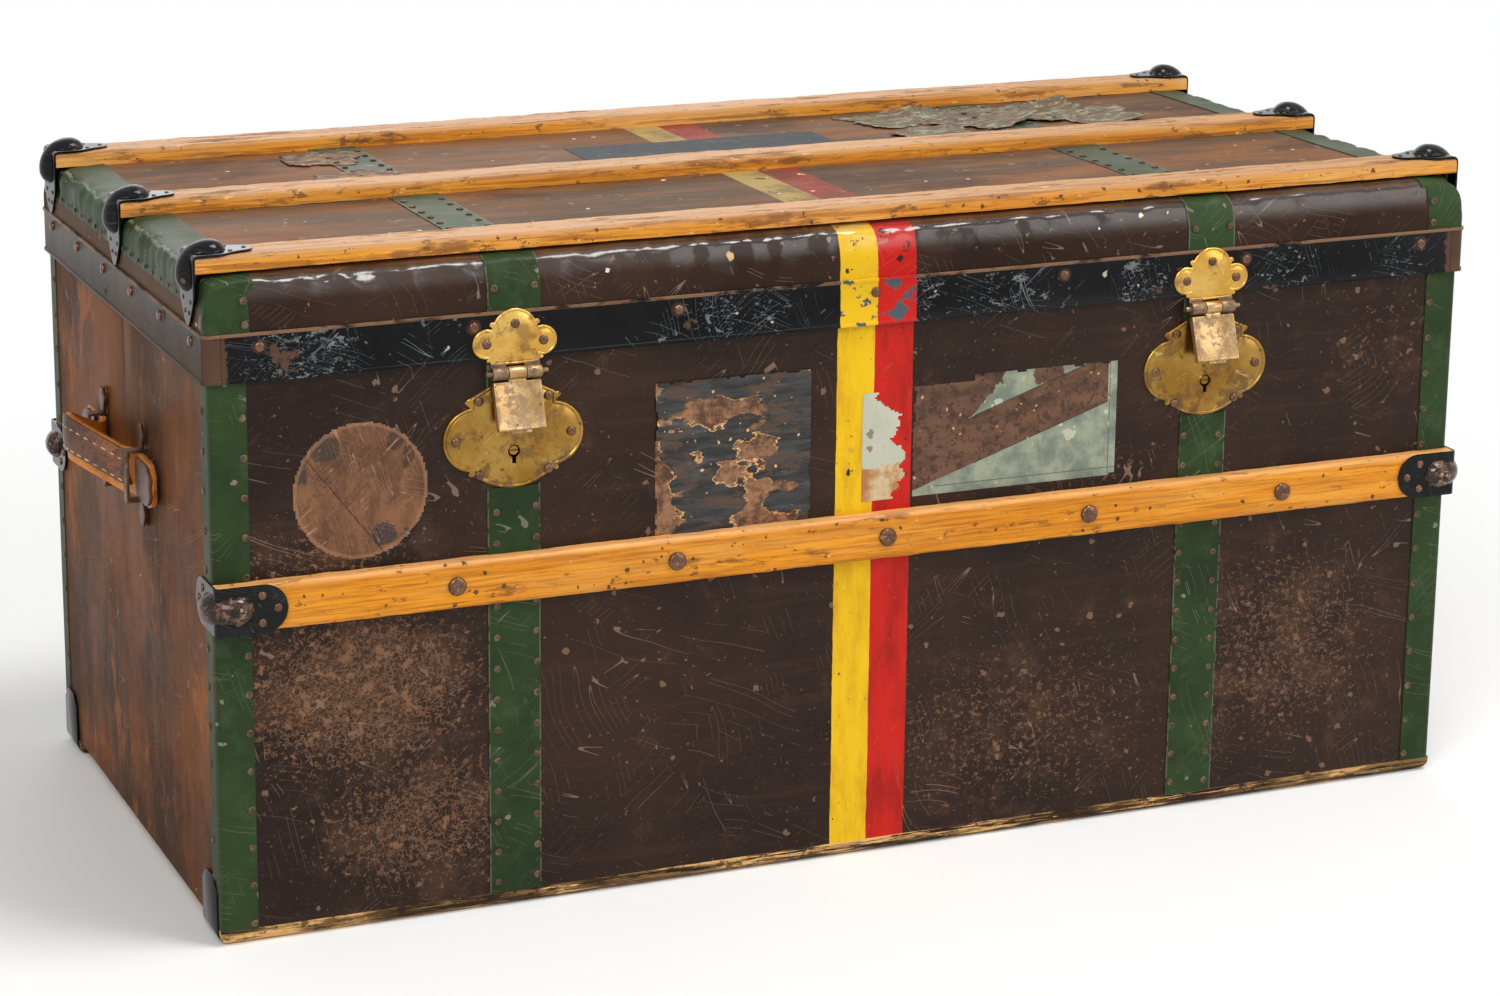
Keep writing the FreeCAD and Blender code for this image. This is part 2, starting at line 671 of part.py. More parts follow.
valance = join([
    ring(lid_overhang, valance_rise, valance_bottom_height, valance_top_height),
    ring(lid_overhang, valance_rise + bead_rise, valance_bottom_height, valance_bottom_height + bead_height),
    ring(lid_overhang, valance_rise + bead_rise, valance_top_height - bead_height, valance_top_height)])
seam_x = lid_x - valance_wrap
far_x = half_x + overrun
far_y = half_y + overrun
front_valance = valance.common(block(-seam_x, seam_x, -far_y, 0, valance_bottom_height, valance_top_height))
back_valance = mirror_y(front_valance)
left_valance = valance.common(block(-far_x, -seam_x, -far_y, far_y, valance_bottom_height, valance_top_height))
right_valance = mirror_x(left_valance)
for parts in hasps.values():
    front_valance = front_valance.cut(parts["plate"])
lid_rivets = []
head = rivet_head(0, valance_rivet_height, valance_rise, valance_rivet_radius, valance_rivet_rise)
lid_rivets += [head, mirror_y(head)]
for rivet_x in [valance_rivet_offset / 2, valance_rivet_offset, half_x - valance_rivet_end_gap]:
    head = rivet_head(rivet_x, valance_rivet_height, valance_rise, valance_rivet_radius, valance_rivet_rise)
    lid_rivets += both_ends([head, mirror_y(head)])
for i in range(end_rivet_count):
    rivet_y = (i - (end_rivet_count - 1) / 2) * end_rivet_pitch
    head = rivet_head(0, valance_rivet_height, valance_rise, valance_rivet_radius, valance_rivet_rise)
    head = turned(moved(head, 0, half_y, 0), (0, 0, 0), (0, 0, 1), -90)
    lid_rivets += both_ends([moved(head, -half_x, rivet_y, 0)])


# Back hinges.
def hinge_rod(x0, x1, radius):
    return Part.makeCylinder(radius, x1 - x0, V(x0, half_y + hinge_axis_rise, hinge_axis_height), V(1, 0, 0))


def back_block(x0, x1, z0, z1, low, high):
    return block(x0, x1, half_y + low, half_y + high, z0, z1)


def hinge_set(x):
    half = hinge_half_width
    knuckle = hinge_knuckle_half_length
    edge = knuckle + hinge_gap
    bottom = hinge_axis_height - hinge_barrel_radius
    base_leaf = [back_block(x - half, x + half, hinge_axis_height - hinge_base_leaf_drop, bottom - hinge_gap,
                            0, hinge_leaf_thickness),
                 back_block(x - knuckle, x + knuckle, bottom - hinge_gap, hinge_axis_height, 0,
                            hinge_leaf_thickness),
                 back_block(x - knuckle, x + knuckle, bottom, hinge_axis_height, 0, hinge_axis_rise),
                 hinge_rod(x - knuckle, x + knuckle, hinge_barrel_radius)]
    ledge_top = hinge_axis_height - stop_reach_out * math.sin(math.radians(lid_open_angle - 90)) - stop_clearance
    base_leaf.append(back_block(x - knuckle, x + knuckle, ledge_top - stop_depth, ledge_top,
                                hinge_axis_rise, hinge_axis_rise + stop_reach_out))
    lid_leaf = [back_block(x - half, x + half, hinge_axis_height + hinge_barrel_radius + hinge_gap,
                           hinge_axis_height + hinge_lid_leaf_rise, valance_rise,
                           valance_rise + hinge_leaf_thickness)]
    for x0, x1 in ((x - half, x - edge), (x + edge, x + half)):
        lid_leaf.append(back_block(x0, x1, hinge_axis_height, hinge_axis_height + hinge_barrel_radius + hinge_gap,
                                   valance_rise, valance_rise + hinge_leaf_thickness))
        lid_leaf.append(hinge_rod(x0, x1, hinge_barrel_radius))
    bore = hinge_rod(x - edge, x + edge, hinge_pin_radius + pin_clearance)
    # The pin is fast in the lid's knuckles, so its solid runs between them.
    pin = hinge_rod(x - edge, x + edge, hinge_pin_radius)
    return {"base": join(base_leaf).cut(bore), "lid": join(lid_leaf), "pin": pin}


hinges = [hinge_set(-hinge_offset), hinge_set(hinge_offset)]
for hinge in hinges:
    back_valance = back_valance.cut(hinge["lid"])


# Left end handle, built outward from the end face along -X, then mirrored.
def bridge(y):
    inner_half = strap_width / 2 + bridge_clearance
    outer_half = inner_half + bridge_metal
    tip_half = outer_half + bridge_tip_length
    depth = bridge_opening_depth + bridge_metal
    y0 = y - bridge_bar / 2
    side = [(-half_x, y0, -outer_half), (-half_x - depth, y0, -outer_half), (-half_x - depth, y0, outer_half),
            (-half_x, y0, outer_half), (-half_x, y0, inner_half),
            (-half_x - bridge_opening_depth, y0, inner_half), (-half_x - bridge_opening_depth, y0, -inner_half),
            (-half_x, y0, -inner_half)]
    pieces = [prism(side, (0, bridge_bar, 0))]
    for sign in (-1, 1):
        root = sign * inner_half
        tip = [(-half_x, y0, root), (-half_x, y0 + bridge_bar, root),
               (-half_x, y + bridge_tip_width / 2, sign * tip_half),
               (-half_x, y - bridge_tip_width / 2, sign * tip_half)]
        pieces.append(prism(tip, (-bridge_metal, 0, 0)))
    return moved(join(pieces), 0, 0, handle_height)


def strap_middle(share):
    # Centre line at a share of the half span: a raised cosine from the bridge to the middle.
    lift = (1 + math.cos(math.pi * share)) / 2
    return share * strap_half_span, strap_axis_rise + strap_bow * lift


def strap_side(offset):
    points = []
    for i in range(-strap_steps, strap_steps + 1):
        share = i / strap_steps
        y, rise = strap_middle(share)
        slope = -strap_bow / 2 * math.sin(math.pi * share) * math.pi / strap_half_span
        length = math.hypot(1, slope)
        points.append((-half_x - rise - offset / length, y - offset * slope / length))
    return points


def handle():
    outer = strap_side(strap_thickness / 2)
    inner = strap_side(-strap_thickness / 2)
    end_y = bridge_offset + strap_tail
    far = -half_x - strap_axis_rise - strap_thickness / 2
    close = -half_x - strap_axis_rise + strap_thickness / 2
    tall = strap_width + strap_lift
    plan = [(far, -end_y)] + outer + [(far, end_y), (close, end_y)] + inner[::-1] + [(close, -end_y)]
    strap = prism([(x, y, -tall) for x, y in plan], (0, 0, 2 * tall))
    # The side band rises as the strap bows out.
    half = strap_width / 2
    start_x = -half_x - strap_lift_start
    end_x = -half_x - strap_axis_rise - strap_bow - strap_thickness
    slope = strap_lift / (strap_axis_rise + strap_bow - strap_lift_start)
    rise = slope * (start_x - end_x)
    side = [(-half_x, -end_y, -half), (start_x, -end_y, -half), (end_x, -end_y, rise - half),
            (end_x, -end_y, rise + half), (start_x, -end_y, half), (-half_x, -end_y, half)]
    return moved(strap.common(prism(side, (0, 2 * end_y, 0))), 0, 0, handle_height)


handle_bridges = [bridge(-bridge_offset), bridge(bridge_offset)]
left_handle = handle()

# Tray and the runners it rests on.
runner = block(-room_x, room_x, -room_y, -room_y + runner_width, tray_bottom_height - runner_height,
               tray_bottom_height)
tray_x = room_x - tray_play
tray_y = room_y - tray_play
tray_floor = tray_bottom_height + tray_bottom_thickness
tray_bottom = block(-tray_x, tray_x, -tray_y, tray_y, tray_bottom_height, tray_floor)
tray_front = block(-tray_x, tray_x, -tray_y, -tray_y + tray_wall_thickness, tray_floor, tray_top)
tray_left = block(-tray_x, -tray_x + tray_wall_thickness, -tray_y + tray_wall_thickness,
                  tray_y - tray_wall_thickness, tray_floor, tray_top)
tab = block(-tray_x + tray_wall_thickness, -tray_x + tray_wall_thickness + tab_thickness, -tab_width / 2,
            tab_width / 2, tray_top - tab_drop, tray_top)

save("bottom_board", bottom_board)
save("front_board", front_board)
save("back_board", back_board)
save("left_end_board", left_end_board)
save("right_end_board", right_end_board)
save("base_covering", base_covering)
save("base_lining", base_lining)
save_group("corner_bindings", corner_bindings)
save_group("base_bands", base_bands)
save("front_slat", front_slat)
save("back_slat", back_slat)
save_group("side_slat_clamps", side_clamps)
save_group("slat_rivets", slat_rivets)
save_group("bottom_slats", bottom_slats)
save_group("bottom_clamps", bottom_clamps)
save_group("lock_plates", [lock["plate"] for lock in locks.values()])
for side, lock in locks.items():
    save(side + "_lock_bolt", lock["bolt"])
save_group("lock_cases", [lock["case"] for lock in locks.values()])
save_group("lock_rivets", [rivet for lock in locks.values() for rivet in lock["rivets"]])
save_group("hasp_plates", [parts["plate"] for parts in hasps.values()])
for side, parts in hasps.items():
    save(side + "_hasp", parts["hasp"])
save_group("hasp_pins", [pin for parts in hasps.values() for pin in parts["pin"]])
save_group("hasp_plate_nails", [nail for parts in hasps.values() for nail in parts["nails"]])
save("lid_covering", lid_covering)
save("lid_lining", lid_lining)
save("lid_top_board", lid_top_board)
save("lid_front_board", lid_front_board)
save("lid_back_board", lid_back_board)
save("lid_left_board", lid_left_board)
save("lid_right_board", lid_right_board)
save("lid_left_binding", lid_left_binding)
save("lid_right_binding", lid_right_binding)
save_group("lid_bands", lid_bands)
for name, slat in lid_slats.items():
    save("lid_" + name + "_slat", slat)
save_group("lid_slat_clamps", lid_clamps)
save("front_valance", front_valance)
save("back_valance", back_valance)
save("left_valance", left_valance)
save("right_valance", right_valance)
save_group("valance_rivets", lid_rivets)
save_group("hinge_base_leaves", [hinge["base"] for hinge in hinges])
save_group("hinge_lid_leaves", [hinge["lid"] for hinge in hinges])
save_group("hinge_pins", [hinge["pin"] for hinge in hinges])
save_group("left_handle_bridges", handle_bridges)
save_group("right_handle_bridges", [mirror_x(b) for b in handle_bridges])
save("left_handle", left_handle)
save("right_handle", mirror_x(left_handle))
save_group("tray_runners", [runner, mirror_y(runner)])
save("tray_bottom", tray_bottom)
save("tray_front_side", tray_front)
save("tray_back_side", mirror_y(tray_front))
save("tray_left_end", tray_left)
save("tray_right_end", mirror_x(tray_left))
save_group("tray_lift_tabs", both_ends([tab]))
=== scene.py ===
import math
import random

import bpy
from mathutils import Matrix, Vector, noise


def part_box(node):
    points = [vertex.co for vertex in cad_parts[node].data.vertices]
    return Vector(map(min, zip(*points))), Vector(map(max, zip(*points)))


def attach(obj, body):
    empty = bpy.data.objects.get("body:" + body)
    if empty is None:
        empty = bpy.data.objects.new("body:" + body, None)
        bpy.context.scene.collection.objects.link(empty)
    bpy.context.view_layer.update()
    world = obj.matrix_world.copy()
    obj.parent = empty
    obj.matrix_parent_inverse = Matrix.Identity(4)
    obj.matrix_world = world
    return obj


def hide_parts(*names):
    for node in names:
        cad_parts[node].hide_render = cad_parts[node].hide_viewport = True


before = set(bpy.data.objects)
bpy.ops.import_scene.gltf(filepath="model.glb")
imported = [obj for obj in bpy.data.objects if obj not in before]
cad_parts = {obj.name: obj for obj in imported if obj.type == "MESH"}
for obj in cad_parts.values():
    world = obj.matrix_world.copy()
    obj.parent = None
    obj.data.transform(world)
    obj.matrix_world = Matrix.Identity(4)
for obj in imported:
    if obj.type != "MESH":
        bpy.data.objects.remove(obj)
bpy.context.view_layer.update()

mm = 0.001


# Colours are written as they look, and turned into the renderer's linear values here.
def paint(code):
    parts = [int(code[i:i + 2], 16) / 255 for i in (1, 3, 5)]
    return tuple(c / 12.92 if c <= 0.04045 else ((c + 0.055) / 1.055) ** 2.4 for c in parts) + (1.0,)


# Shader helpers. They add nodes to the tree at hand, which newGroup, newMaterial and buildStage set.
tree = None


def fill(made, inputs):
    for socket, value in inputs.items():
        if isinstance(value, bpy.types.NodeSocket):
            tree.links.new(value, made.inputs[socket])
        else:
            made.inputs[socket].default_value = paint(value) if isinstance(value, str) else value


def addNode(kind, inputs=None, **settings):
    made = tree.nodes.new("ShaderNode" + kind)
    for setting, value in settings.items():
        setattr(made, setting, value)
    fill(made, inputs or {})
    return made


def maths(operation, a, b=0.5, clamp=False):
    return addNode("Math", {0: a, 1: b}, operation=operation, use_clamp=clamp).outputs[0]


def times(a, b):
    return maths("MULTIPLY", a, b)


def plus(a, b, clamp=False):
    return maths("ADD", a, b, clamp)


def minus(a, b, clamp=False):
    return maths("SUBTRACT", a, b, clamp)


def over(a, b):
    return maths("DIVIDE", a, b)


def larger(a, b):
    return maths("MAXIMUM", a, b)


def absolute(a):
    return maths("ABSOLUTE", a)


def isBelow(a, b):
    return maths("LESS_THAN", a, b)


def isAbove(a, b):
    return maths("GREATER_THAN", a, b)


def vectorMaths(operation, inputs, output=0):
    return addNode("VectorMath", inputs, operation=operation).outputs[output]


def ease(value, low, high):    # 0 below low, 1 above high, smooth between
    return addNode("MapRange", {"Value": value, "From Min": low, "From Max": high},
                   interpolation_type="SMOOTHSTEP").outputs[0]


def spread(value, low, high):   # 0..1 to low..high
    return addNode("MapRange", {"Value": value, "To Min": low, "To Max": high}).outputs[0]


def inside(value, low, high, soft=0.001):
    return minus(ease(value, low - soft, low + soft), ease(value, high - soft, high + soft), True)


def mixed(share, a, b):
    return addNode("Mix", {0: share, 6: a, 7: b}, data_type="RGBA", blend_type="MIX").outputs[2]


def cover(under, top, mask, share):   # lays one colour over another where the mask is
    return mixed(times(mask, share), under, top)


def noiseOf(vector, scale, detail=4.0, rough=0.55, distort=0.0):
    return addNode("TexNoise", {"Vector": vector, "Scale": scale, "Detail": detail, "Roughness": rough,
                                "Distortion": distort}).outputs["Fac"]


def colourNoise(vector, scale, detail, rough=0.5):
    settings = {"Vector": vector, "Scale": scale, "Detail": detail, "Roughness": rough}
    return addNode("TexNoise", settings).outputs["Color"]


def stretched(vector, scale, turn=(0, 0, 0), shift=(0, 0, 0)):
    settings = {"Vector": vector, "Scale": scale, "Rotation": turn, "Location": shift}
    return addNode("Mapping", settings).outputs[0]


def pulledNoise(vector, scale, detail=4.0, rough=0.55, distort=0.0, turn=(0, 0, 0), shift=(0, 0, 0)):
    return noiseOf(stretched(vector, scale, turn, shift), 1.0, detail, rough, distort)


def flatPlace(a, b):
    return addNode("CombineXYZ", {0: a, 1: b, 2: 0.0}).outputs[0]


def useGroup(group, **values):
    made = addNode("Group", node_tree=group)
    fill(made, values)
    return made.outputs


def maskOf(group, vector, **values):
    return useGroup(group, Vector=vector, **values)["Mask"]


def newGroup(name, takes, gives):   # takes: inputs and their values, None for a vector; gives: outputs
    global tree
    tree = bpy.data.node_groups.new(name, "ShaderNodeTree")
    for socket, value in takes.items():
        kind = "NodeSocketVector" if value is None else "NodeSocketFloat"
        made = tree.interface.new_socket(socket, in_out="INPUT", socket_type=kind)
        if value is not None:
            made.default_value = value
    for socket in gives:
        tree.interface.new_socket(socket, in_out="OUTPUT", socket_type="NodeSocketFloat")
    return tree, tree.nodes.new("NodeGroupInput").outputs, tree.nodes.new("NodeGroupOutput")


def newMaterial(name, shine=0.5):
    global tree
    made = bpy.data.materials.new(name)
    made.use_nodes = True
    tree = made.node_tree
    shader = tree.nodes["Principled BSDF"]
    shader.inputs["Specular IOR Level"].default_value = shine
    place = addNode("TexCoord").outputs["Object"]
    return made, shader, place, addNode("SeparateXYZ", {0: place}).outputs


def feed(shader, colour, rough, height=None):   # height in millimetres
    fill(shader, {"Base Color": colour, "Roughness": rough})
    if height is not None:
        raised = addNode("Bump", {"Height": height, "Distance": mm, "Strength": 1.0})
        fill(shader, {"Normal": raised.outputs[0]})


# Stage: camera at the photo's place, a pale floor and soft studio lamps
stage = {
    "cameraPlace": (-1.1958, -2.7348, 1.0860),
    "cameraPitch": 14.19,
    "cameraYaw": 21.255,
    "lens": 87.75,
    "sensor": 36.0,
    "shift": (0.1025, -0.0784),
    "floorSize": 24.0,
    "floorColour": "#f7f7f6",
    "whiteFrom": 0.72,
    "whiteTo": 1.5,
    "skyStrength": 0.36,
    "lamps": [   # name, place, size, watts
        ("keyLamp", (-2.6, -3.2, 3.4), 2.2, 104),
        ("fillLamp", (3.0, -3.4, 2.2), 3.0, 50),
        ("topLamp", (0.8, -0.9, 3.5), 1.2, 62),
        ("backLamp", (0.5, 3.6, 2.6), 3.0, 40),
    ],
}


def viewRays():   # 1 for what the camera sees, straight, through glass or in a reflection
    rays = addNode("LightPath").outputs
    return larger(larger(rays["Is Camera Ray"], rays["Is Transmission Ray"]), rays["Is Glossy Ray"])


def buildStage():
    global tree
    cameraData = bpy.data.cameras.new("photoCamera")
    cameraData.lens = stage["lens"]
    cameraData.sensor_width = stage["sensor"]
    cameraData.shift_x, cameraData.shift_y = stage["shift"]
    camera = bpy.data.objects.new("photoCamera", cameraData)
    camera.location = stage["cameraPlace"]
    camera.rotation_euler = (math.radians(90 - stage["cameraPitch"]), 0, math.radians(-stage["cameraYaw"]))
    bpy.context.scene.collection.objects.link(camera)
    bpy.context.scene.camera = camera
    middle = Vector((0, 0, 0.25))
    for name, place, size, watts in stage["lamps"]:
        lampData = bpy.data.lights.new(name, "AREA")
        lampData.size = size
        lampData.energy = watts
        lamp = bpy.data.objects.new(name, lampData)
        lamp.location = place
        lamp.rotation_euler = (middle - Vector(place)).to_track_quat("-Z", "Y").to_euler()
        bpy.context.scene.collection.objects.link(lamp)
    world = bpy.data.worlds.new("studioAir")
    bpy.context.scene.world = world
    world.use_nodes = True
    tree = world.node_tree
    tree.nodes.clear()
    glow = spread(viewRays(), stage["skyStrength"], 1.0)
    sky = addNode("Background", {"Color": (1, 1, 1, 1), "Strength": glow})
    addNode("OutputWorld", {"Surface": sky.outputs[0]})
    bpy.ops.object.select_all(action="DESELECT")
    bpy.ops.mesh.primitive_plane_add(size=stage["floorSize"], location=(0, 0, 0))
    floor = bpy.context.object
    floor.name = "paleFloor"
    ground, shader, place, _ = newMaterial("paleFloorPaint", 0.1)
    fill(shader, {"Base Color": stage["floorColour"], "Roughness": 0.9})
    # far from the trunk the floor is white to the camera; near it the shadow stays
    fade = ease(vectorMaths("LENGTH", {0: place}, "Value"), stage["whiteFrom"], stage["whiteTo"])
    white = addNode("Emission").outputs[0]
    both = addNode("MixShader", {0: times(fade, viewRays()), 1: shader.outputs[0], 2: white})
    fill(tree.nodes["Material Output"], {"Surface": both.outputs[0]})
    floor.data.materials.append(ground)
    bpy.context.scene.view_settings.view_transform = "Standard"


buildStage()
print("stage ready")


# Node groups that several finishes share
def bentBy(vector, wobble, share):   # moves each place by a colour noise
    swing = vectorMaths("SUBTRACT", {0: wobble, 1: (0.5, 0.5, 0.5)})
    return vectorMaths("ADD", {0: vector, 1: vectorMaths("SCALE", {0: swing, "Scale": share})})


def makeBlotches():   # soft uneven patches
    takes = {"Vector": None, "Scale": 8.0, "Low": 0.4, "High": 0.6, "Ragged": 0.6}
    group, take, give = newGroup("blotches", takes, ["Mask"])
    cloud = noiseOf(take["Vector"], take["Scale"], 5.0, take["Ragged"])
    fill(give, {"Mask": ease(cloud, take["Low"], take["High"])})
    return group


def makeSpecks():   # scattered spots of mixed size
    takes = {"Vector": None, "Scale": 100.0, "Size": 0.2, "Share": 0.3}
    group, take, give = newGroup("specks", takes, ["Mask"])
    wobble = colourNoise(take["Vector"], times(take["Scale"], 2.5), 2.0)
    place = bentBy(take["Vector"], wobble, over(0.55, take["Scale"]))
    cells = addNode("TexVoronoi", {"Vector": place, "Scale": take["Scale"], "Randomness": 1.0}).outputs
    dice = addNode("SeparateColor", {"Color": cells["Color"]}).outputs
    near = isBelow(cells["Distance"], times(dice[0], take["Size"]))
    fill(give, {"Mask": times(near, isBelow(dice[1], take["Share"]))})
    return group


def makeScratches():   # long fine lines in three directions, broken up
    takes = {"Vector": None, "Scale": 1.0, "Width": 0.02, "Share": 0.5}
    group, take, give = newGroup("scratches", takes, ["Mask"])
    sized = vectorMaths("SCALE", {0: take["Vector"], "Scale": take["Scale"]})
    slow = colourNoise(sized, 11.0, 1.0)
    bent = vectorMaths("ADD", {0: sized, 1: vectorMaths("SCALE", {0: slow, "Scale": 0.03})})
    cuts = addNode("SeparateColor", {"Color": colourNoise(bent, 16.0, 2.0, 0.7)}).outputs
    total = None
    for turn, along, across, cut in ((0.35, 3.0, 90.0, 0), (-0.7, 5.0, 120.0, 1), (1.25, 4.0, 100.0, 2)):
        lines = pulledNoise(stretched(bent, (1, 1, 1), (0, 0, turn)), (along, across, 1), 0.0)
        thin = isBelow(absolute(minus(lines, 0.5)), take["Width"])
        part = times(thin, isBelow(cuts[cut], take["Share"]))
        total = part if total is None else larger(total, part)
    fill(give, {"Mask": total})
    return group


def makeScuffs():   # short curling rub marks, as where paint has been worn in small strokes
    takes = {"Vector": None, "Scale": 60.0, "Width": 0.1, "Share": 0.5}
    group, take, give = newGroup("scuffs", takes, ["Mask"])
    swirl = colourNoise(take["Vector"], times(take["Scale"], 0.45), 3.0)
    place = bentBy(take["Vector"], swirl, over(4.0, take["Scale"]))
    seams = addNode("TexVoronoi", {"Vector": place, "Scale": take["Scale"]}, feature="DISTANCE_TO_EDGE")
    thin = isBelow(seams.outputs["Distance"], take["Width"])
    broken = noiseOf(take["Vector"], times(take["Scale"], 0.8), 3.0, 0.7)
    fill(give, {"Mask": times(thin, isBelow(broken, take["Share"]))})
    return group


def makeGrain():   # wood that runs along X
    group, take, give = newGroup("woodGrain", {"Vector": None, "Scale": 1.0}, ["Rings", "Fibres", "Pores"])
    sized = vectorMaths("SCALE", {0: take["Vector"], "Scale": take["Scale"]})
    slow = pulledNoise(sized, (1.4, 26, 26), 2.0, 0.5, 0.6)
    rings = ease(maths("PINGPONG", times(slow, 9.0), 1.0), 0.15, 0.85)
    fibres = pulledNoise(sized, (14, 420, 420), 5.0, 0.65)
    pores = pulledNoise(sized, (26, 700, 700), 3.0, 0.6, shift=(5, 5, 5))
    fill(give, {"Rings": rings, "Fibres": fibres, "Pores": ease(pores, 0.62, 0.72)})
    return group


stripeBuild = {"yellow": (-0.0297, 0.0021), "red": (0.0021, 0.0350), "edge": 0.0002, "waver": 0.0016}


def makeStripes():   # the two painted stripes round the middle, by distance along the trunk
    look = stripeBuild
    group, take, give = newGroup("paintedStripes", {"Vector": None, "Chips": 0.5},
                                 ["Yellow", "Red", "Whole"])
    along = addNode("SeparateXYZ", {0: take["Vector"]}).outputs[0]
    across = plus(along, times(minus(noiseOf(take["Vector"], 90.0, 3.0), 0.5), look["waver"]))
    yellow = inside(across, *look["yellow"], look["edge"])
    red = inside(across, *look["red"], look["edge"])
    sound = isBelow(noiseOf(take["Vector"], 70.0, 6.0, 0.62), take["Chips"])
    fill(give, {"Yellow": times(yellow, sound), "Red": times(red, sound), "Whole": larger(yellow, red)})
    return group


blotches = makeBlotches()
specks = makeSpecks()
scratches = makeScratches()
scuffs = makeScuffs()
woodGrain = makeGrain()
paintedStripes = makeStripes()

coveringLook = {
    "dark": "#1f120b", "light": "#301e13", "warm": "#442b1d", "dusty": "#583e2c",
    "endWarm": "#7a4722", "endGrey": "#4e3624", "endDark": "#321f14", "endRust": "#9a5820",
    "endPale": "#85603f", "scuff": "#735139", "bald": "#7f5d43", "chip": "#7d5f4b", "cream": "#d8c8a8",
    "scratch": "#8b7260", "yellow": "#e6b90f", "yellowDeep": "#cb990b", "red": "#c21d12",
    "redDeep": "#94160d",
    "patches": (   # middle x, middle z, half width, half height, strength
        (-0.42, 0.19, 0.125, 0.085, 1.0), (-0.37, 0.08, 0.11, 0.07, 0.8), (0.13, 0.09, 0.16, 0.09, 0.5),
        (0.38, 0.13, 0.12, 0.11, 0.62), (0.46, 0.38, 0.06, 0.06, 0.35), (-0.44, 0.30, 0.10, 0.03, 0.55),
        (0.19, 0.30, 0.10, 0.03, 0.35)),
}


def roundPatch(u, v, middle, size, soft=(0.2, 1.25)):   # 1 at the middle, 0 outside
    far = vectorMaths("SUBTRACT", {0: flatPlace(u, v), 1: (*middle, 0)})
    far = vectorMaths("MULTIPLY", {0: far, 1: (1 / size[0], 1 / size[1], 0)})
    return minus(1.0, ease(vectorMaths("LENGTH", {0: far}, "Value"), *soft))


def relief(place, dents, weave):   # dents: scale, detail, height; weave: scale, height
    dent = noiseOf(place, dents[0], dents[1], 0.5)
    cloth = noiseOf(place, weave[0], 2.0, 0.6)
    return plus(times(dent, dents[2]), times(cloth, weave[1]))


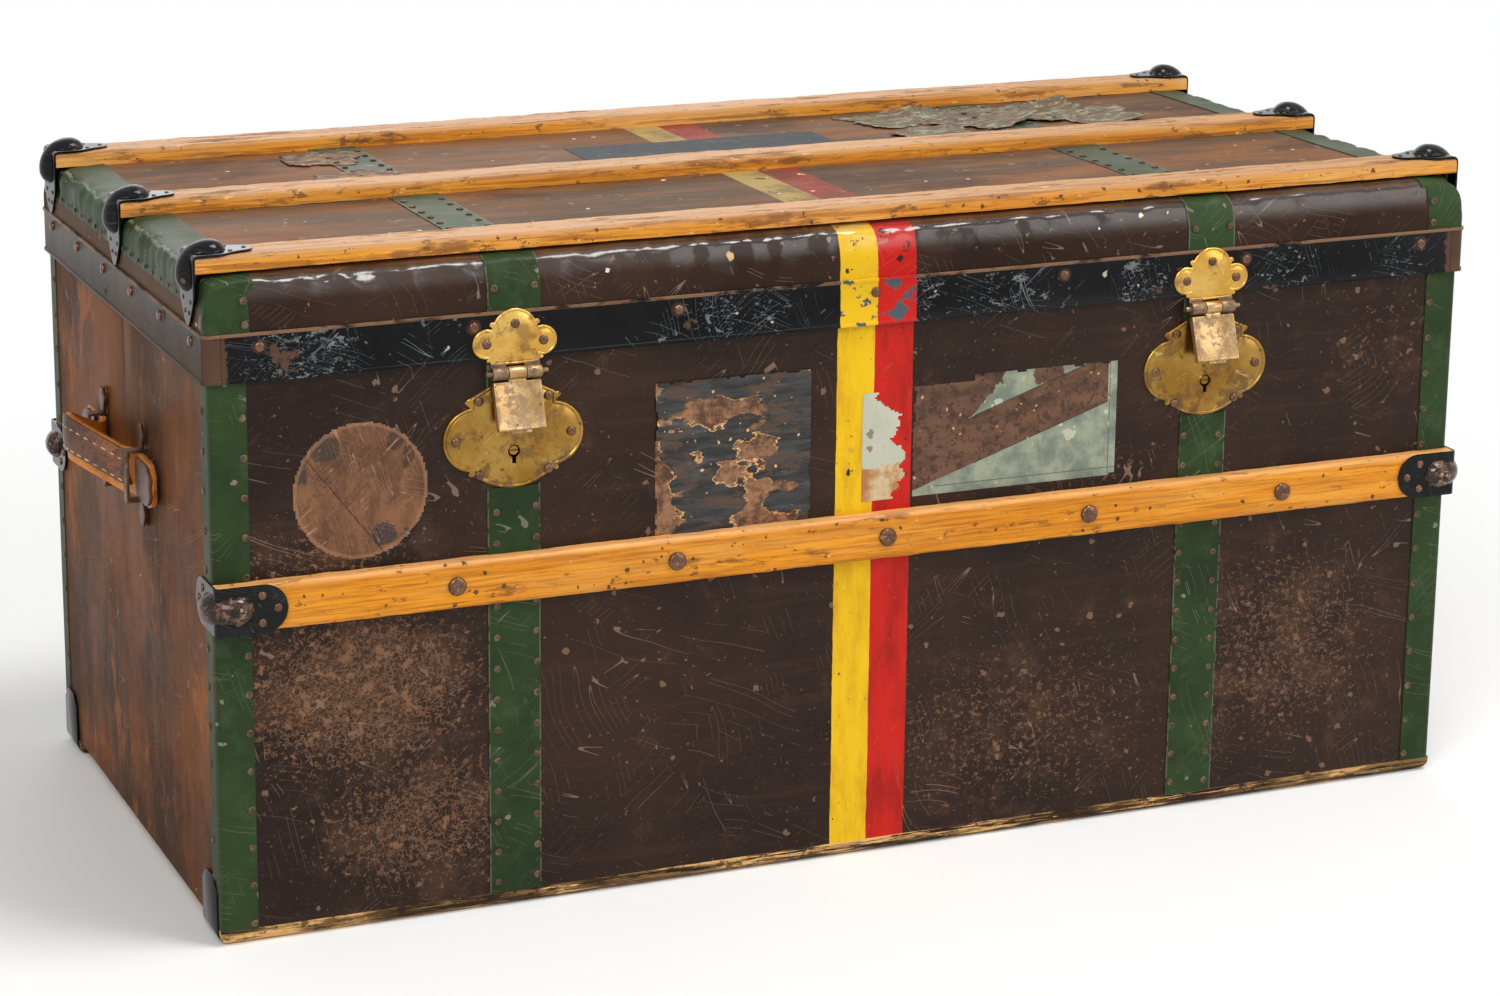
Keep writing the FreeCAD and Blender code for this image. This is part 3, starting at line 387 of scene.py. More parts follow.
def makeCovering():
    look = coveringLook
    made, shader, place, axes = newMaterial("wornCovering", 0.18)
    u, v = plus(axes[0], axes[1]), axes[2]
    flat = flatPlace(u, v)
    isEnd = ease(absolute(axes[0]), 0.5288, 0.5294)
    isFront = isBelow(axes[1], -0.2485)
    # painted board of the long sides
    cloud = maskOf(blotches, place, Scale=6.0, Low=0.35, High=0.68)
    colour = mixed(cloud, look["dark"], look["light"])
    streak = pulledNoise(flat, (5, 60, 1), 6.0, 0.7)
    colour = cover(colour, look["warm"], ease(streak, 0.48, 0.72), 0.4)
    grit = pulledNoise(flat, (260, 340, 1), 3.0, 0.75)
    colour = cover(colour, look["dusty"], ease(grit, 0.55, 0.75), 0.35)
    # rubbed patches, worst low at the left
    patch = None
    for px, pz, wide, high, full in look["patches"]:
        one = times(roundPatch(axes[0], v, (px, pz), (wide, high)), full)
        patch = one if patch is None else larger(patch, one)
    ragged = noiseOf(place, 24.0, 6.0, 0.72)
    faded = ease(plus(ragged, times(patch, 0.2)), 0.56, 0.72)
    colour = cover(colour, look["dusty"], faded, 0.38)
    strokes = maskOf(scuffs, flat, Scale=230.0, Width=0.12, Share=plus(times(patch, 0.26), 0.33))
    colour = cover(colour, look["scuff"], strokes, 0.7)
    flaked = noiseOf(stretched(flat, (1, 1, 1), (0, 0, 0), (9, 2, 0)), 85.0, 6.0, 0.68)
    bald = isAbove(plus(flaked, times(patch, 0.13)), 0.695)
    colour = cover(colour, look["bald"], bald, 0.8)
    # the ends have lost most of their dark paint
    tall = pulledNoise(place, (7, 7, 2.4), 6.0, 0.62)
    endColour = mixed(ease(tall, 0.4, 0.6), look["endGrey"], look["endWarm"])
    damp = maskOf(blotches, place, Scale=4.5, Low=0.44, High=0.66, Ragged=0.7)
    endColour = cover(endColour, look["endDark"], damp, 0.8)
    rust = maskOf(blotches, stretched(place, (2, 2, 1), (0, 0, 0), (3, 3, 3)), Scale=9.0, Low=0.56,
                  High=0.66, Ragged=0.72)
    endColour = cover(endColour, look["endRust"], rust, 0.75)
    fine = pulledNoise(place, (70, 70, 12), 4.0, 0.72)
    endColour = cover(endColour, look["endPale"], ease(fine, 0.5, 0.75), 0.4)
    # a long fold in the board of the ends, from under the lid to the strap, painted only: a broad painted
    # highlight beside a dark painted shade line
    fold = plus(axes[1], times(minus(pulledNoise(place, (1, 1, 9), 3.0), 0.5), 0.02))
    high = ease(axes[2], 0.345, 0.40)
    foldPaintedHighlight = times(inside(fold, -0.020, 0.001, 0.009), high)
    endColour = cover(endColour, look["endPale"], foldPaintedHighlight, 0.5)
    foldPaintedShade = times(inside(fold, 0.0, 0.006, 0.003), high)
    endColour = cover(endColour, look["endDark"], foldPaintedShade, 0.75)
    colour = mixed(isEnd, colour, endColour)
    # stripes on the front alone
    stripes = useGroup(paintedStripes, Vector=place, Chips=0.68)
    smudge = pulledNoise(place, (60, 60, 14), 5.0, 0.7)
    yellow = mixed(ease(smudge, 0.4, 0.7), look["yellow"], look["yellowDeep"])
    red = mixed(ease(smudge, 0.4, 0.7), look["red"], look["redDeep"])
    painted = times(stripes["Yellow"], isFront)
    colour = mixed(painted, colour, yellow)
    paintedRed = times(stripes["Red"], isFront)
    colour = mixed(paintedRed, colour, red)
    stripe = larger(painted, paintedRed)
    # chips, drops and scratches over all of it
    plain = spread(stripe, 1.0, 0.35)
    chip = maskOf(specks, place, Scale=75.0, Size=0.24, Share=0.2)
    colour = cover(colour, look["chip"], times(chip, plain), 0.75)
    drop = maskOf(specks, place, Scale=62.0, Size=0.13, Share=0.22)
    colour = mixed(drop, colour, look["cream"])
    dust = maskOf(specks, place, Scale=210.0, Size=0.26, Share=0.36)
    colour = cover(colour, look["chip"], dust, 0.5)
    lines = maskOf(scratches, flat, Scale=1.0, Width=0.0035, Share=0.43)
    colour = cover(colour, look["scratch"], times(lines, plain), 0.6)
    rough = spread(cloud, 0.38, 0.52)
    rough = plus(rough, times(larger(strokes, bald), 0.2), True)
    fill(shader, {"Specular IOR Level": spread(isEnd, 0.18, 0.03)})
    height = relief(place, (16.0, 2.0, 1.6), (700.0, 0.05))
    height = plus(height, times(flaked, 0.08))
    feed(shader, colour, rough, height)
    return made


lidLook = {"front": "#2a1b14", "frontLight": "#38261d", "topGrey": "#5a4636", "topWarm": "#7f522f",
           "topDark": "#3f2c20", "end": "#5a4331", "rub": "#907a66", "yellow": "#d9ad18",
           "red": "#b51c15", "dullYellow": "#b9a060", "dullRed": "#9c3a33"}


def makeLidCovering():
    look = lidLook
    made, shader, place, axes = newMaterial("wornLidCovering", 0.38)
    flat = flatPlace(axes[0], plus(axes[1], axes[2]))
    onTop = ease(axes[2], 0.5085, 0.5145)
    cloud = maskOf(blotches, place, Scale=7.0, Low=0.35, High=0.68)
    colour = mixed(cloud, look["front"], look["frontLight"])
    strokes = maskOf(scuffs, flat, Scale=120.0, Width=0.12, Share=0.34)
    colour = cover(colour, look["rub"], strokes, 0.5)
    long = pulledNoise(place, (3.2, 16, 16), 6.0, 0.62)
    top = mixed(ease(long, 0.4, 0.62), look["topGrey"], look["topWarm"])
    stain = pulledNoise(place, (5, 12, 12), 6.0, 0.6, shift=(2, 2, 2))
    top = cover(top, look["topDark"], ease(stain, 0.5, 0.68), 0.8)
    fine = pulledNoise(place, (18, 160, 160), 5.0, 0.7)
    top = cover(top, look["rub"], ease(fine, 0.5, 0.78), 0.4)
    colour = mixed(onTop, colour, top)
    onEnd = ease(absolute(axes[0]), 0.5270, 0.5285)
    colour = cover(colour, look["end"], onEnd, minus(1.0, onTop))
    # stripes: bright on the front, dull and half gone on the top
    stripes = useGroup(paintedStripes, Vector=place, Chips=0.64)
    notBack = isBelow(axes[1], 0.2)
    faint = maskOf(blotches, place, Scale=24.0, Low=0.42, High=0.62, Ragged=0.7)
    strong = times(spread(onTop, 1.0, 0.72), notBack)
    strong = minus(strong, times(times(faint, onTop), 0.45), True)
    yellow = mixed(onTop, look["yellow"], look["dullYellow"])
    red = mixed(onTop, look["red"], look["dullRed"])
    colour = cover(colour, yellow, stripes["Yellow"], strong)
    colour = cover(colour, red, stripes["Red"], strong)
    chip = maskOf(specks, place, Scale=85.0, Size=0.3, Share=0.16)
    colour = cover(colour, look["rub"], chip, 0.7)
    drop = maskOf(specks, place, Scale=60.0, Size=0.16, Share=0.2)
    colour = mixed(drop, colour, "#dccdb0")
    lines = maskOf(scratches, flat, Scale=1.0, Width=0.0035, Share=0.45)
    colour = cover(colour, look["rub"], lines, 0.55)
    polished = minus(1.0, ease(axes[1], -0.2440, -0.2330))
    rough = spread(polished, 0.5, 0.13)
    crest = times(polished, ease(axes[2], 0.492, 0.503))
    fill(shader, {"Specular IOR Level": plus(spread(polished, 0.05, 0.10), times(crest, 0.5))})
    rough = plus(rough, times(larger(strokes, cloud), 0.1), True)
    height = relief(place, (34.0, 3.0, 1.1), (600.0, 0.04))
    feed(shader, colour, rough, height)
    return made


greenLook = {"green": "#2c4020", "deep": "#203016", "pale": "#485639", "dull": "#3d4431",
             "rub": "#817e69", "brown": "#574434", "ridge": "#8d9180"}


def makeBinding(name, faded):
    look = greenLook
    made, shader, place, axes = newMaterial(name, 0.14)
    flat = flatPlace(plus(axes[0], axes[1]), axes[2])
    cloud = maskOf(blotches, place, Scale=14.0, Low=0.35, High=0.65)
    colour = mixed(cloud, look["deep"], look["green"])
    if faded:
        onTop = ease(axes[2], 0.5135, 0.5157)
        onEnd = ease(absolute(axes[0]), 0.5315, 0.5335)
        aged = larger(times(onTop, 0.8), times(onEnd, 0.5))
    else:
        aged = times(ease(absolute(axes[0]), 0.5290, 0.5306), 0.75)
    colour = mixed(aged, colour, look["dull"])
    old = maskOf(blotches, place, Scale=30.0, Low=0.5, High=0.7, Ragged=0.7)
    colour = cover(colour, look["pale"], old, spread(aged, 0.35, 0.8))
    brown = maskOf(blotches, place, Scale=22.0, Low=0.58, High=0.66, Ragged=0.75)
    colour = cover(colour, look["brown"], brown, spread(aged, 0.12, 0.75))
    if faded:
        # a thin pale ragged line along the top outer ridge of each cap: worn paint with a painted highlight
        # on the edge
        across = plus(absolute(axes[0]), times(minus(pulledNoise(place, (6, 30, 6), 4.0, 0.7), 0.5), 0.010))
        ridge = times(inside(across, 0.5262, 0.5284, 0.0009), ease(axes[2], 0.5085, 0.5105))
        ridge = times(ridge, ease(noiseOf(place, 55.0, 5.0, 0.7), 0.4, 0.56))
        colour = cover(colour, look["ridge"], ridge, 0.7)
    chip = maskOf(specks, place, Scale=80.0, Size=0.24, Share=0.16)
    colour = cover(colour, look["rub"], chip, 0.8)
    lines = maskOf(scratches, flat, Scale=1.1, Width=0.004, Share=0.42)
    colour = cover(colour, look["rub"], lines, 0.6)
    # rubbed pale on the long cut edges of the bands
    side = absolute(axes[0])
    edge = larger(inside(side, 0.3160, 0.3180, 0.0003), inside(side, 0.2745, 0.2760, 0.0003))
    ragged = isAbove(noiseOf(place, 60.0, 4.0, 0.7), 0.47)
    colour = cover(colour, look["rub"], times(edge, ragged), 0.4)
    rough = spread(cloud, 0.34, 0.46)
    rough = plus(rough, times(aged, 0.12), True)
    height = relief(place, (30.0, 3.0, 0.9), (600.0, 0.04))
    feed(shader, colour, rough, height)
    return made


def makePine(name, look):
    made, shader, place, axes = newMaterial(name, 0.18)
    grain = useGroup(woodGrain, Vector=place, Scale=look["scale"])
    colour = cover(look["light"], look["dark"], grain["Rings"], 0.6)
    colour = cover(colour, look["deep"], ease(grain["Fibres"], 0.44, 0.66), look["lines"])
    long = pulledNoise(place, (4, 26, 26), 5.0, 0.65)
    colour = cover(colour, look["pale"], ease(long, 0.46, 0.66), look["fade"])
    if "flakes" in look:   # splintered along the grain
        split = pulledNoise(place, (16, 150, 330), 5.0, 0.7)
        colour = mixed(ease(split, 0.5, 0.53), colour, look["pale"])
        under = pulledNoise(place, (12, 150, 300), 5.0, 0.7, shift=(6, 2, 2))
        colour = mixed(ease(under, 0.56, 0.585), colour, look["deep"])
    if "edge" in look:   # worn face against the fresher sides, by height
        band = ease(absolute(axes[look["edge"][0]]), look["edge"][1], look["edge"][2])
        ragged = times(band, ease(pulledNoise(place, (12, 60, 60), 5.0, 0.7), 0.24, 0.46))
        colour = cover(colour, look["worn"], ragged, look["edge"][3])
    if "streaks" in look:   # dirt in the open grain
        streak = pulledNoise(place, (7, 210, 210), 5.0, 0.68, shift=(4, 3, 1))
        colour = cover(colour, look["deep"], ease(streak, 0.52, 0.6), look["streaks"])
    grime = pulledNoise(place, (11, 60, 60), 6.0, 0.72, shift=(3, 1, 4))
    dirty = ease(grime, look["dirtFrom"], look["dirtFrom"] + 0.07)
    colour = cover(colour, look["dirt"], dirty, 0.7)
    colour = cover(colour, look["deep"], grain["Pores"], 0.55)
    bruise = pulledNoise(place, (55, 95, 95), 4.0, 0.7, shift=(1, 6, 2))
    bruised = ease(bruise, look["bruiseFrom"], look["bruiseFrom"] + 0.03)
    colour = cover(colour, look["dirt"], bruised, 0.75)
    chip = ease(pulledNoise(place, (45, 130, 130), 4.0, 0.7, shift=(8, 2, 5)), 0.66, 0.68)
    colour = cover(colour, look["pale"], chip, 0.7)
    dots = maskOf(specks, place, Scale=130.0, Size=0.26, Share=0.2)
    colour = cover(colour, look["spot"], dots, 0.85)
    rough = spread(dirty, look["gloss"], look["gloss"] + 0.25)
    height = plus(times(grain["Fibres"], 0.35), times(grain["Rings"], 0.06))
    height = minus(height, times(bruised, 0.3))
    dents = pulledNoise(place, (30, 60, 60), 3.0, 0.6)
    height = plus(height, times(dents, 1.1))
    feed(shader, colour, rough, height)
    return made


lidPine = {"light": "#dd932f", "dark": "#c97a20", "deep": "#8a4f1d", "pale": "#e9bd7c",
           "dirt": "#6f4527", "spot": "#3c281b", "worn": "#bb8850", "scale": 1.0, "fade": 0.4,
           "lines": 0.55, "dirtFrom": 0.555, "bruiseFrom": 0.615, "gloss": 0.4,
           "edge": (2, 0.5215, 0.5250, 0.95), "streaks": 0.62}
sidePine = {"light": "#e2921f", "dark": "#c87812", "deep": "#8a4b13", "pale": "#efb866",
            "dirt": "#6d421e", "spot": "#3a2617", "scale": 1.0, "fade": 0.3, "lines": 0.6,
            "dirtFrom": 0.578, "bruiseFrom": 0.635, "gloss": 0.3, "worn": "#e8b276",
            "edge": (2, 0.2795, 0.2842, 0.6), "streaks": 0.22}
bottomPine = {"light": "#6d4a2b", "dark": "#452d1c", "deep": "#1c130e", "pale": "#dfae6c",
              "dirt": "#231812", "spot": "#17110e", "scale": 1.5, "fade": 0.95, "lines": 0.75,
              "dirtFrom": 0.46, "bruiseFrom": 0.58, "gloss": 0.6, "flakes": True}
boardPine = {"light": "#c9a473", "dark": "#b18a5a", "deep": "#7f5c39", "pale": "#d9bc90",
             "dirt": "#6c5037", "spot": "#4b3626", "scale": 0.6, "fade": 0.3, "lines": 0.3,
             "dirtFrom": 0.64, "bruiseFrom": 0.72, "gloss": 0.6}
trayPine = dict(boardPine, light="#b98c58", dark="#9a6e3f", deep="#6b4826", pale="#cfae80",
                dirt="#5a4230", spot="#3f2d20", scale=0.7, gloss=0.55)

valanceLook = {
    "black": "#09090a", "soft": "#121213", "strokes": "#596268", "specks": "#b9b0a0", "pale": "#7d8283",
    "rust": "#5f4031", "copper": "#5c3f2c", "endWarm": "#4a3627", "endGrey": "#37302a", "bead": "#7d5d45",
    "yellow": "#deb119", "red": "#bd1f16", "bare": "#4a545a",
    "rubbed": (   # middle along the front, half width, strength
        (-0.46, 0.07, 1.0), (-0.36, 0.05, 0.35), (-0.12, 0.09, 0.8), (0.02, 0.06, 0.9), (0.11, 0.08, 0.85),
        (0.23, 0.04, 0.9), (0.37, 0.05, 0.8), (0.47, 0.05, 0.7)),
}


def makeValance():
    look = valanceLook
    made, shader, place, axes = newMaterial("chippedValance", 0.25)
    flat = flatPlace(plus(axes[0], axes[1]), axes[2])
    side = absolute(axes[0])
    cloud = maskOf(blotches, place, Scale=11.0, Low=0.4, High=0.66)
    colour = mixed(cloud, look["black"], look["soft"])
    # rubbed to blue-grey metal in a few places along the front
    worn = None
    for px, wide, full in look["rubbed"]:
        one = times(roundPatch(axes[0], axes[2], (px, 0.455), (wide, 0.05)), full)
        worn = one if worn is None else larger(worn, one)
    share = spread(worn, 0.24, 0.46)
    rubs = maskOf(scuffs, stretched(flat, (1, 1.6, 1), (0, 0, 0.5)), Scale=105.0, Width=0.06, Share=share)
    fineRubs = maskOf(scuffs, stretched(flat, (1, 1.6, 1), (0, 0, -0.5), (4, 0, 0)), Scale=190.0,
                      Width=0.09, Share=minus(share, 0.02))
    lines = maskOf(scratches, flat, Scale=1.3, Width=0.004, Share=plus(times(worn, 0.16), 0.36))
    wiped = isAbove(plus(pulledNoise(flat, (38, 70, 1), 6.0, 0.75, turn=(0, 0, 0.3)),
                         times(worn, 0.07)), 0.665)
    marks = larger(larger(rubs, fineRubs), larger(lines, wiped))
    grey = mixed(ease(noiseOf(place, 60.0, 3.0), 0.4, 0.6), look["strokes"], look["pale"])
    colour = cover(colour, grey, marks, 0.75)
    spots = maskOf(specks, place, Scale=95.0, Size=0.26, Share=0.3)
    colour = cover(colour, look["specks"], spots, 0.85)
    rust = maskOf(blotches, place, Scale=19.0, Low=0.64, High=0.68, Ragged=0.7)
    colour = cover(colour, look["rust"], rust, 0.8)
    # rusty ring round each rivet of the front
    for at in (0.0, 0.164, 0.328, 0.492):
        far = vectorMaths("DISTANCE", {0: flatPlace(side, axes[2]), 1: (at, 0.462, 0)}, "Value")
        near = minus(1.0, ease(plus(far, times(noiseOf(place, 160.0), 0.004)), 0.006, 0.0085))
        colour = cover(colour, look["copper"], near, 0.7)
    # bare brown metal where the end strips turn the corner, and on the ends
    long = pulledNoise(place, (8, 5, 24), 6.0, 0.62)
    endColour = mixed(ease(long, 0.4, 0.62), look["endGrey"], look["endWarm"])
    endColour = cover(endColour, look["specks"], marks, 0.2)
    colour = mixed(ease(plus(side, times(noiseOf(place, 90.0, 5.0), 0.012)), 0.5215, 0.5235), colour,
                   mixed(0.5, endColour, look["rust"]))
    colour = mixed(ease(side, 0.5335, 0.5341), colour, endColour)
    # painted stripes with grey metal where they have chipped
    stripes = useGroup(paintedStripes, Vector=place, Chips=0.545)
    isFront = isBelow(axes[1], -0.25)
    colour = cover(colour, look["bare"], stripes["Whole"], isFront)
    colour = cover(colour, look["yellow"], stripes["Yellow"], isFront)
    colour = cover(colour, look["red"], stripes["Red"], isFront)
    bead = ease(axes[2], 0.4704, 0.4709)
    ragged = ease(pulledNoise(place, (30, 30, 90), 4.0), 0.35, 0.5)
    notStripe = minus(1.0, stripes["Whole"])
    colour = cover(colour, look["bead"], times(bead, ragged), notStripe)
    rough = spread(larger(marks, rust), 0.24, 0.5)
    fill(shader, {"Specular IOR Level": spread(ease(side, 0.5335, 0.5341), 0.12, 0.02)})
    dents = noiseOf(place, 28.0, 3.0, 0.5)
    height = times(dents, 0.6)
    feed(shader, colour, rough, height)
    return made


def makeMetal(name, look):
    made, shader, place, axes = newMaterial(name, look.get("shine", 0.5))
    flat = flatPlace(plus(axes[0], axes[1]), axes[2])
    cloud = maskOf(blotches, place, Scale=look["cloudScale"], Low=0.36, High=0.66, Ragged=0.62)
    colour = mixed(cloud, look["base"], look["tone"])
    spots = maskOf(specks, place, Scale=look["spotScale"], Size=0.3, Share=look["spots"])
    patina = maskOf(blotches, place, Scale=look["cloudScale"] * 2.2, Low=look["patinaFrom"],
                    High=look["patinaFrom"] + 0.1, Ragged=0.72)
    colour = cover(colour, look["old"], patina, look["patina"])
    colour = cover(colour, look["spot"], spots, 0.8)
    lines = maskOf(scratches, flat, Scale=look["lineScale"], Width=0.009, Share=look.get("lines", 0.47))
    colour = cover(colour, look["rub"], lines, 0.35)
    metal = spread(larger(spots, times(patina, look["patina"])), look["metal"], look["metal"] * 0.55)
    fill(shader, {"Metallic": metal})
    rough = spread(larger(patina, spots), look["gloss"], look["gloss"] + 0.24)
    dents = noiseOf(place, 90.0, 3.0, 0.5)
    height = minus(times(dents, look["lumps"]), times(spots, 0.1))
    height = minus(height, times(lines, 0.012))
    feed(shader, colour, rough, height)
    return made


darkSteelLook = {"base": "#4b4540", "tone": "#67584b", "old": "#5d3f2e", "spot": "#2d2622",
                 "rub": "#a09486", "cloudScale": 60.0, "spotScale": 260.0, "spots": 0.2,
                 "patinaFrom": 0.52, "patina": 0.7, "lineScale": 3.0, "metal": 0.85, "gloss": 0.4,
                 "lumps": 0.25}
brassLook = dict(darkSteelLook, lines=0.41, base="#90692a", tone="#ab8643", old="#5f4424",
                 spot="#5b4020", rub="#ecd084", cloudScale=24.0, spotScale=190.0, spots=0.1,
                 patinaFrom=0.5, lineScale=2.6, metal=0.97, gloss=0.24, lumps=0.08)
# the hasp plate: the same brass painted lighter, as a painted reflection of the bright surroundings
haspPlatePaintedReflectionLook = dict(brassLook, base="#cb9a44", tone="#dfb562", old="#7d5c2d")
haspLook = dict(darkSteelLook, base="#aa8552", tone="#c3a273", old="#866c55", spot="#574536",
                rub="#e0c79c", cloudScale=55.0, spotScale=240.0, spots=0.22, patinaFrom=0.47,
                patina=0.75, metal=0.9, gloss=0.3, lumps=0.12)
knuckleLook = dict(darkSteelLook, base="#7b6550", tone="#9b7c55", old="#5c4a3c", spot="#453629",
                   rub="#c9b083", cloudScale=90.0, spotScale=400.0, spots=0.3, patinaFrom=0.48,
                   lineScale=4.0, metal=0.8, gloss=0.42, lumps=0.3)
copperLook = dict(darkSteelLook, base="#604636", tone="#785641", old="#453129", spot="#2f231d",
                  rub="#bd9c80", cloudScale=120.0, spotScale=420.0, patinaFrom=0.5, patina=0.6,
                  lineScale=5.0, gloss=0.24, lumps=0.1)
bridgeLook = dict(darkSteelLook, base="#4c392c", tone="#6a503c", old="#573823", spot="#2a1f19",
                  rub="#b39a80", cloudScale=70.0, spotScale=300.0, lineScale=4.0, metal=0.7, lumps=0.4)
enamelLook = dict(darkSteelLook, shine=0.2, base="#070707", tone="#0f0e0e", old="#2c221d",
                  spot="#6d5240", rub="#5d5a58", cloudScale=40.0, spotScale=150.0, spots=0.1,
                  patinaFrom=0.66, lineScale=2.5, metal=0.0, gloss=0.1, lumps=0.1)
nailLook = dict(darkSteelLook, base="#5c4a38", tone="#776149", old="#413226", spot="#332821",
                rub="#c9ad84", cloudScale=120.0, spotScale=420.0, spots=0.3, patinaFrom=0.46,
                lineScale=5.0, metal=0.7, gloss=0.42)
wornEnamelLook = dict(darkSteelLook, base="#241c18", tone="#3d2e26", old="#7d5a45", spot="#a58a70",
                      rub="#b7a08a", spotScale=210.0, spots=0.3, patinaFrom=0.5, patina=0.9, metal=0.6,
                      gloss=0.16, lumps=0.15)


def makeLeather(name, look):
    made, shader, place, _ = newMaterial(name)
    cloud = maskOf(blotches, place, Scale=26.0, Low=0.36, High=0.66, Ragged=0.65)
    colour = mixed(cloud, look["base"], look["tone"])
    rubbed = maskOf(blotches, place, Scale=48.0, Low=0.56, High=0.68, Ragged=0.7)
    colour = cover(colour, look["rub"], rubbed, look["worn"])
    cracks = maskOf(scuffs, place, Scale=260.0, Width=0.05, Share=0.5)
    colour = cover(colour, look["crack"], cracks, 0.5)
    spots = maskOf(specks, place, Scale=170.0, Size=0.3, Share=0.15)
    colour = cover(colour, look["crack"], spots, 0.5)
    rough = spread(rubbed, 0.38, 0.55)
    skin = noiseOf(place, 900.0, 3.0, 0.6)
    height = minus(times(skin, 0.12), times(cracks, 0.12))
    height = plus(height, times(noiseOf(place, 60.0), 0.5))
    feed(shader, colour, rough, height)
    return made


topLeather = {"base": "#4a2e22", "tone": "#6b4331", "rub": "#b0683a", "crack": "#2b1a13", "worn": 0.5}
underLeather = {"base": "#b8681f", "tone": "#d08126", "rub": "#e3a050", "crack": "#6a3a18", "worn": 0.5}


def makeThread():     # waxed cream thread, greyed by dirt
    made, shader, place, _ = newMaterial("creamThread")
    dirt = noiseOf(place, 260.0, 3.0, 0.6)
    colour = mixed(ease(dirt, 0.4, 0.66), "#d9c39c", "#8d7152")
    twist = noiseOf(place, 1800.0, 2.0)
    feed(shader, colour, spread(twist, 0.6, 0.8), times(twist, 0.1))
    return made


def makePaper():      # interior lining
    made, shader, place, axes = newMaterial("liningPaper")
    cloud = maskOf(blotches, place, Scale=5.0, Low=0.35, High=0.7)
    colour = mixed(cloud, "#cdbb97", "#b8a27a")
    u = plus(axes[0], axes[1])
    lines = maths("PINGPONG", times(u, 50.0), 1.0)
    stripe = inside(lines, 0.42, 0.58, 0.04)
    colour = cover(colour, "#8f7f63", stripe, 0.35)
    stain = maskOf(blotches, place, Scale=9.0, Low=0.6, High=0.66, Ragged=0.7)
    colour = cover(colour, "#8b6d4a", stain, 0.4)
    fibre = noiseOf(place, 500.0, 3.0, 0.6)
    feed(shader, colour, spread(fibre, 0.7, 0.9), times(fibre, 0.15))
    return made


def makeCharred():     # blistered dark paper with brown showing through
    made, shader, place, _ = newMaterial("charredPaper", 0.4)
    layer = addNode("Attribute", attribute_name="layer").outputs["Fac"]
    ragged = times(minus(pulledNoise(place, (110, 1, 260), 5.0, 0.7), 0.5), 0.62)
    torn = plus(layer, ragged)
    brown = ease(torn, 0.47, 0.49)
    folds = pulledNoise(place, (26, 1, 150), 4.0, 0.6)
    crust = mixed(ease(folds, 0.36, 0.64), "#151413", "#343433")
    # paler grey patches on the blistered crust: a painted sheen
    shine = ease(pulledNoise(place, (30, 1, 190), 3.0, 0.6, shift=(4, 0, 2)), 0.56, 0.74)
    crust = cover(crust, "#595a59", shine, 0.6)
    rusty = pulledNoise(place, (30, 1, 90), 6.0, 0.75, shift=(2, 0, 6))
    crust = cover(crust, "#4d382b", ease(rusty, 0.53, 0.57), 0.8)
    below = mixed(ease(noiseOf(place, 90.0, 4.0, 0.7), 0.36, 0.64), "#4d3221", "#936949")
    colour = mixed(brown, crust, below)
    # bright orange-cream lips where the crust is torn: pale paper edge with a painted highlight on it
    lip = inside(torn, 0.468, 0.50, 0.006)
    paleLipAndHighlight = ease(pulledNoise(place, (34, 1, 48), 2.0, shift=(7, 0, 7)), 0.44, 0.54)
    colour = cover(colour, "#f0b873", times(lip, paleLipAndHighlight), 0.95)
    flecks = maskOf(specks, place, Scale=210.0, Size=0.3, Share=0.12)
    colour = mixed(flecks, colour, "#d9a869")
    dark = maskOf(specks, place, Scale=240.0, Size=0.3, Share=0.2)
    colour = cover(colour, "#201813", dark, 0.7)
    rough = spread(brown, 0.3, 0.7)
    height = plus(times(folds, 1.2), times(noiseOf(place, 240.0, 3.0), 0.3))
    feed(shader, colour, rough, height)
    return made


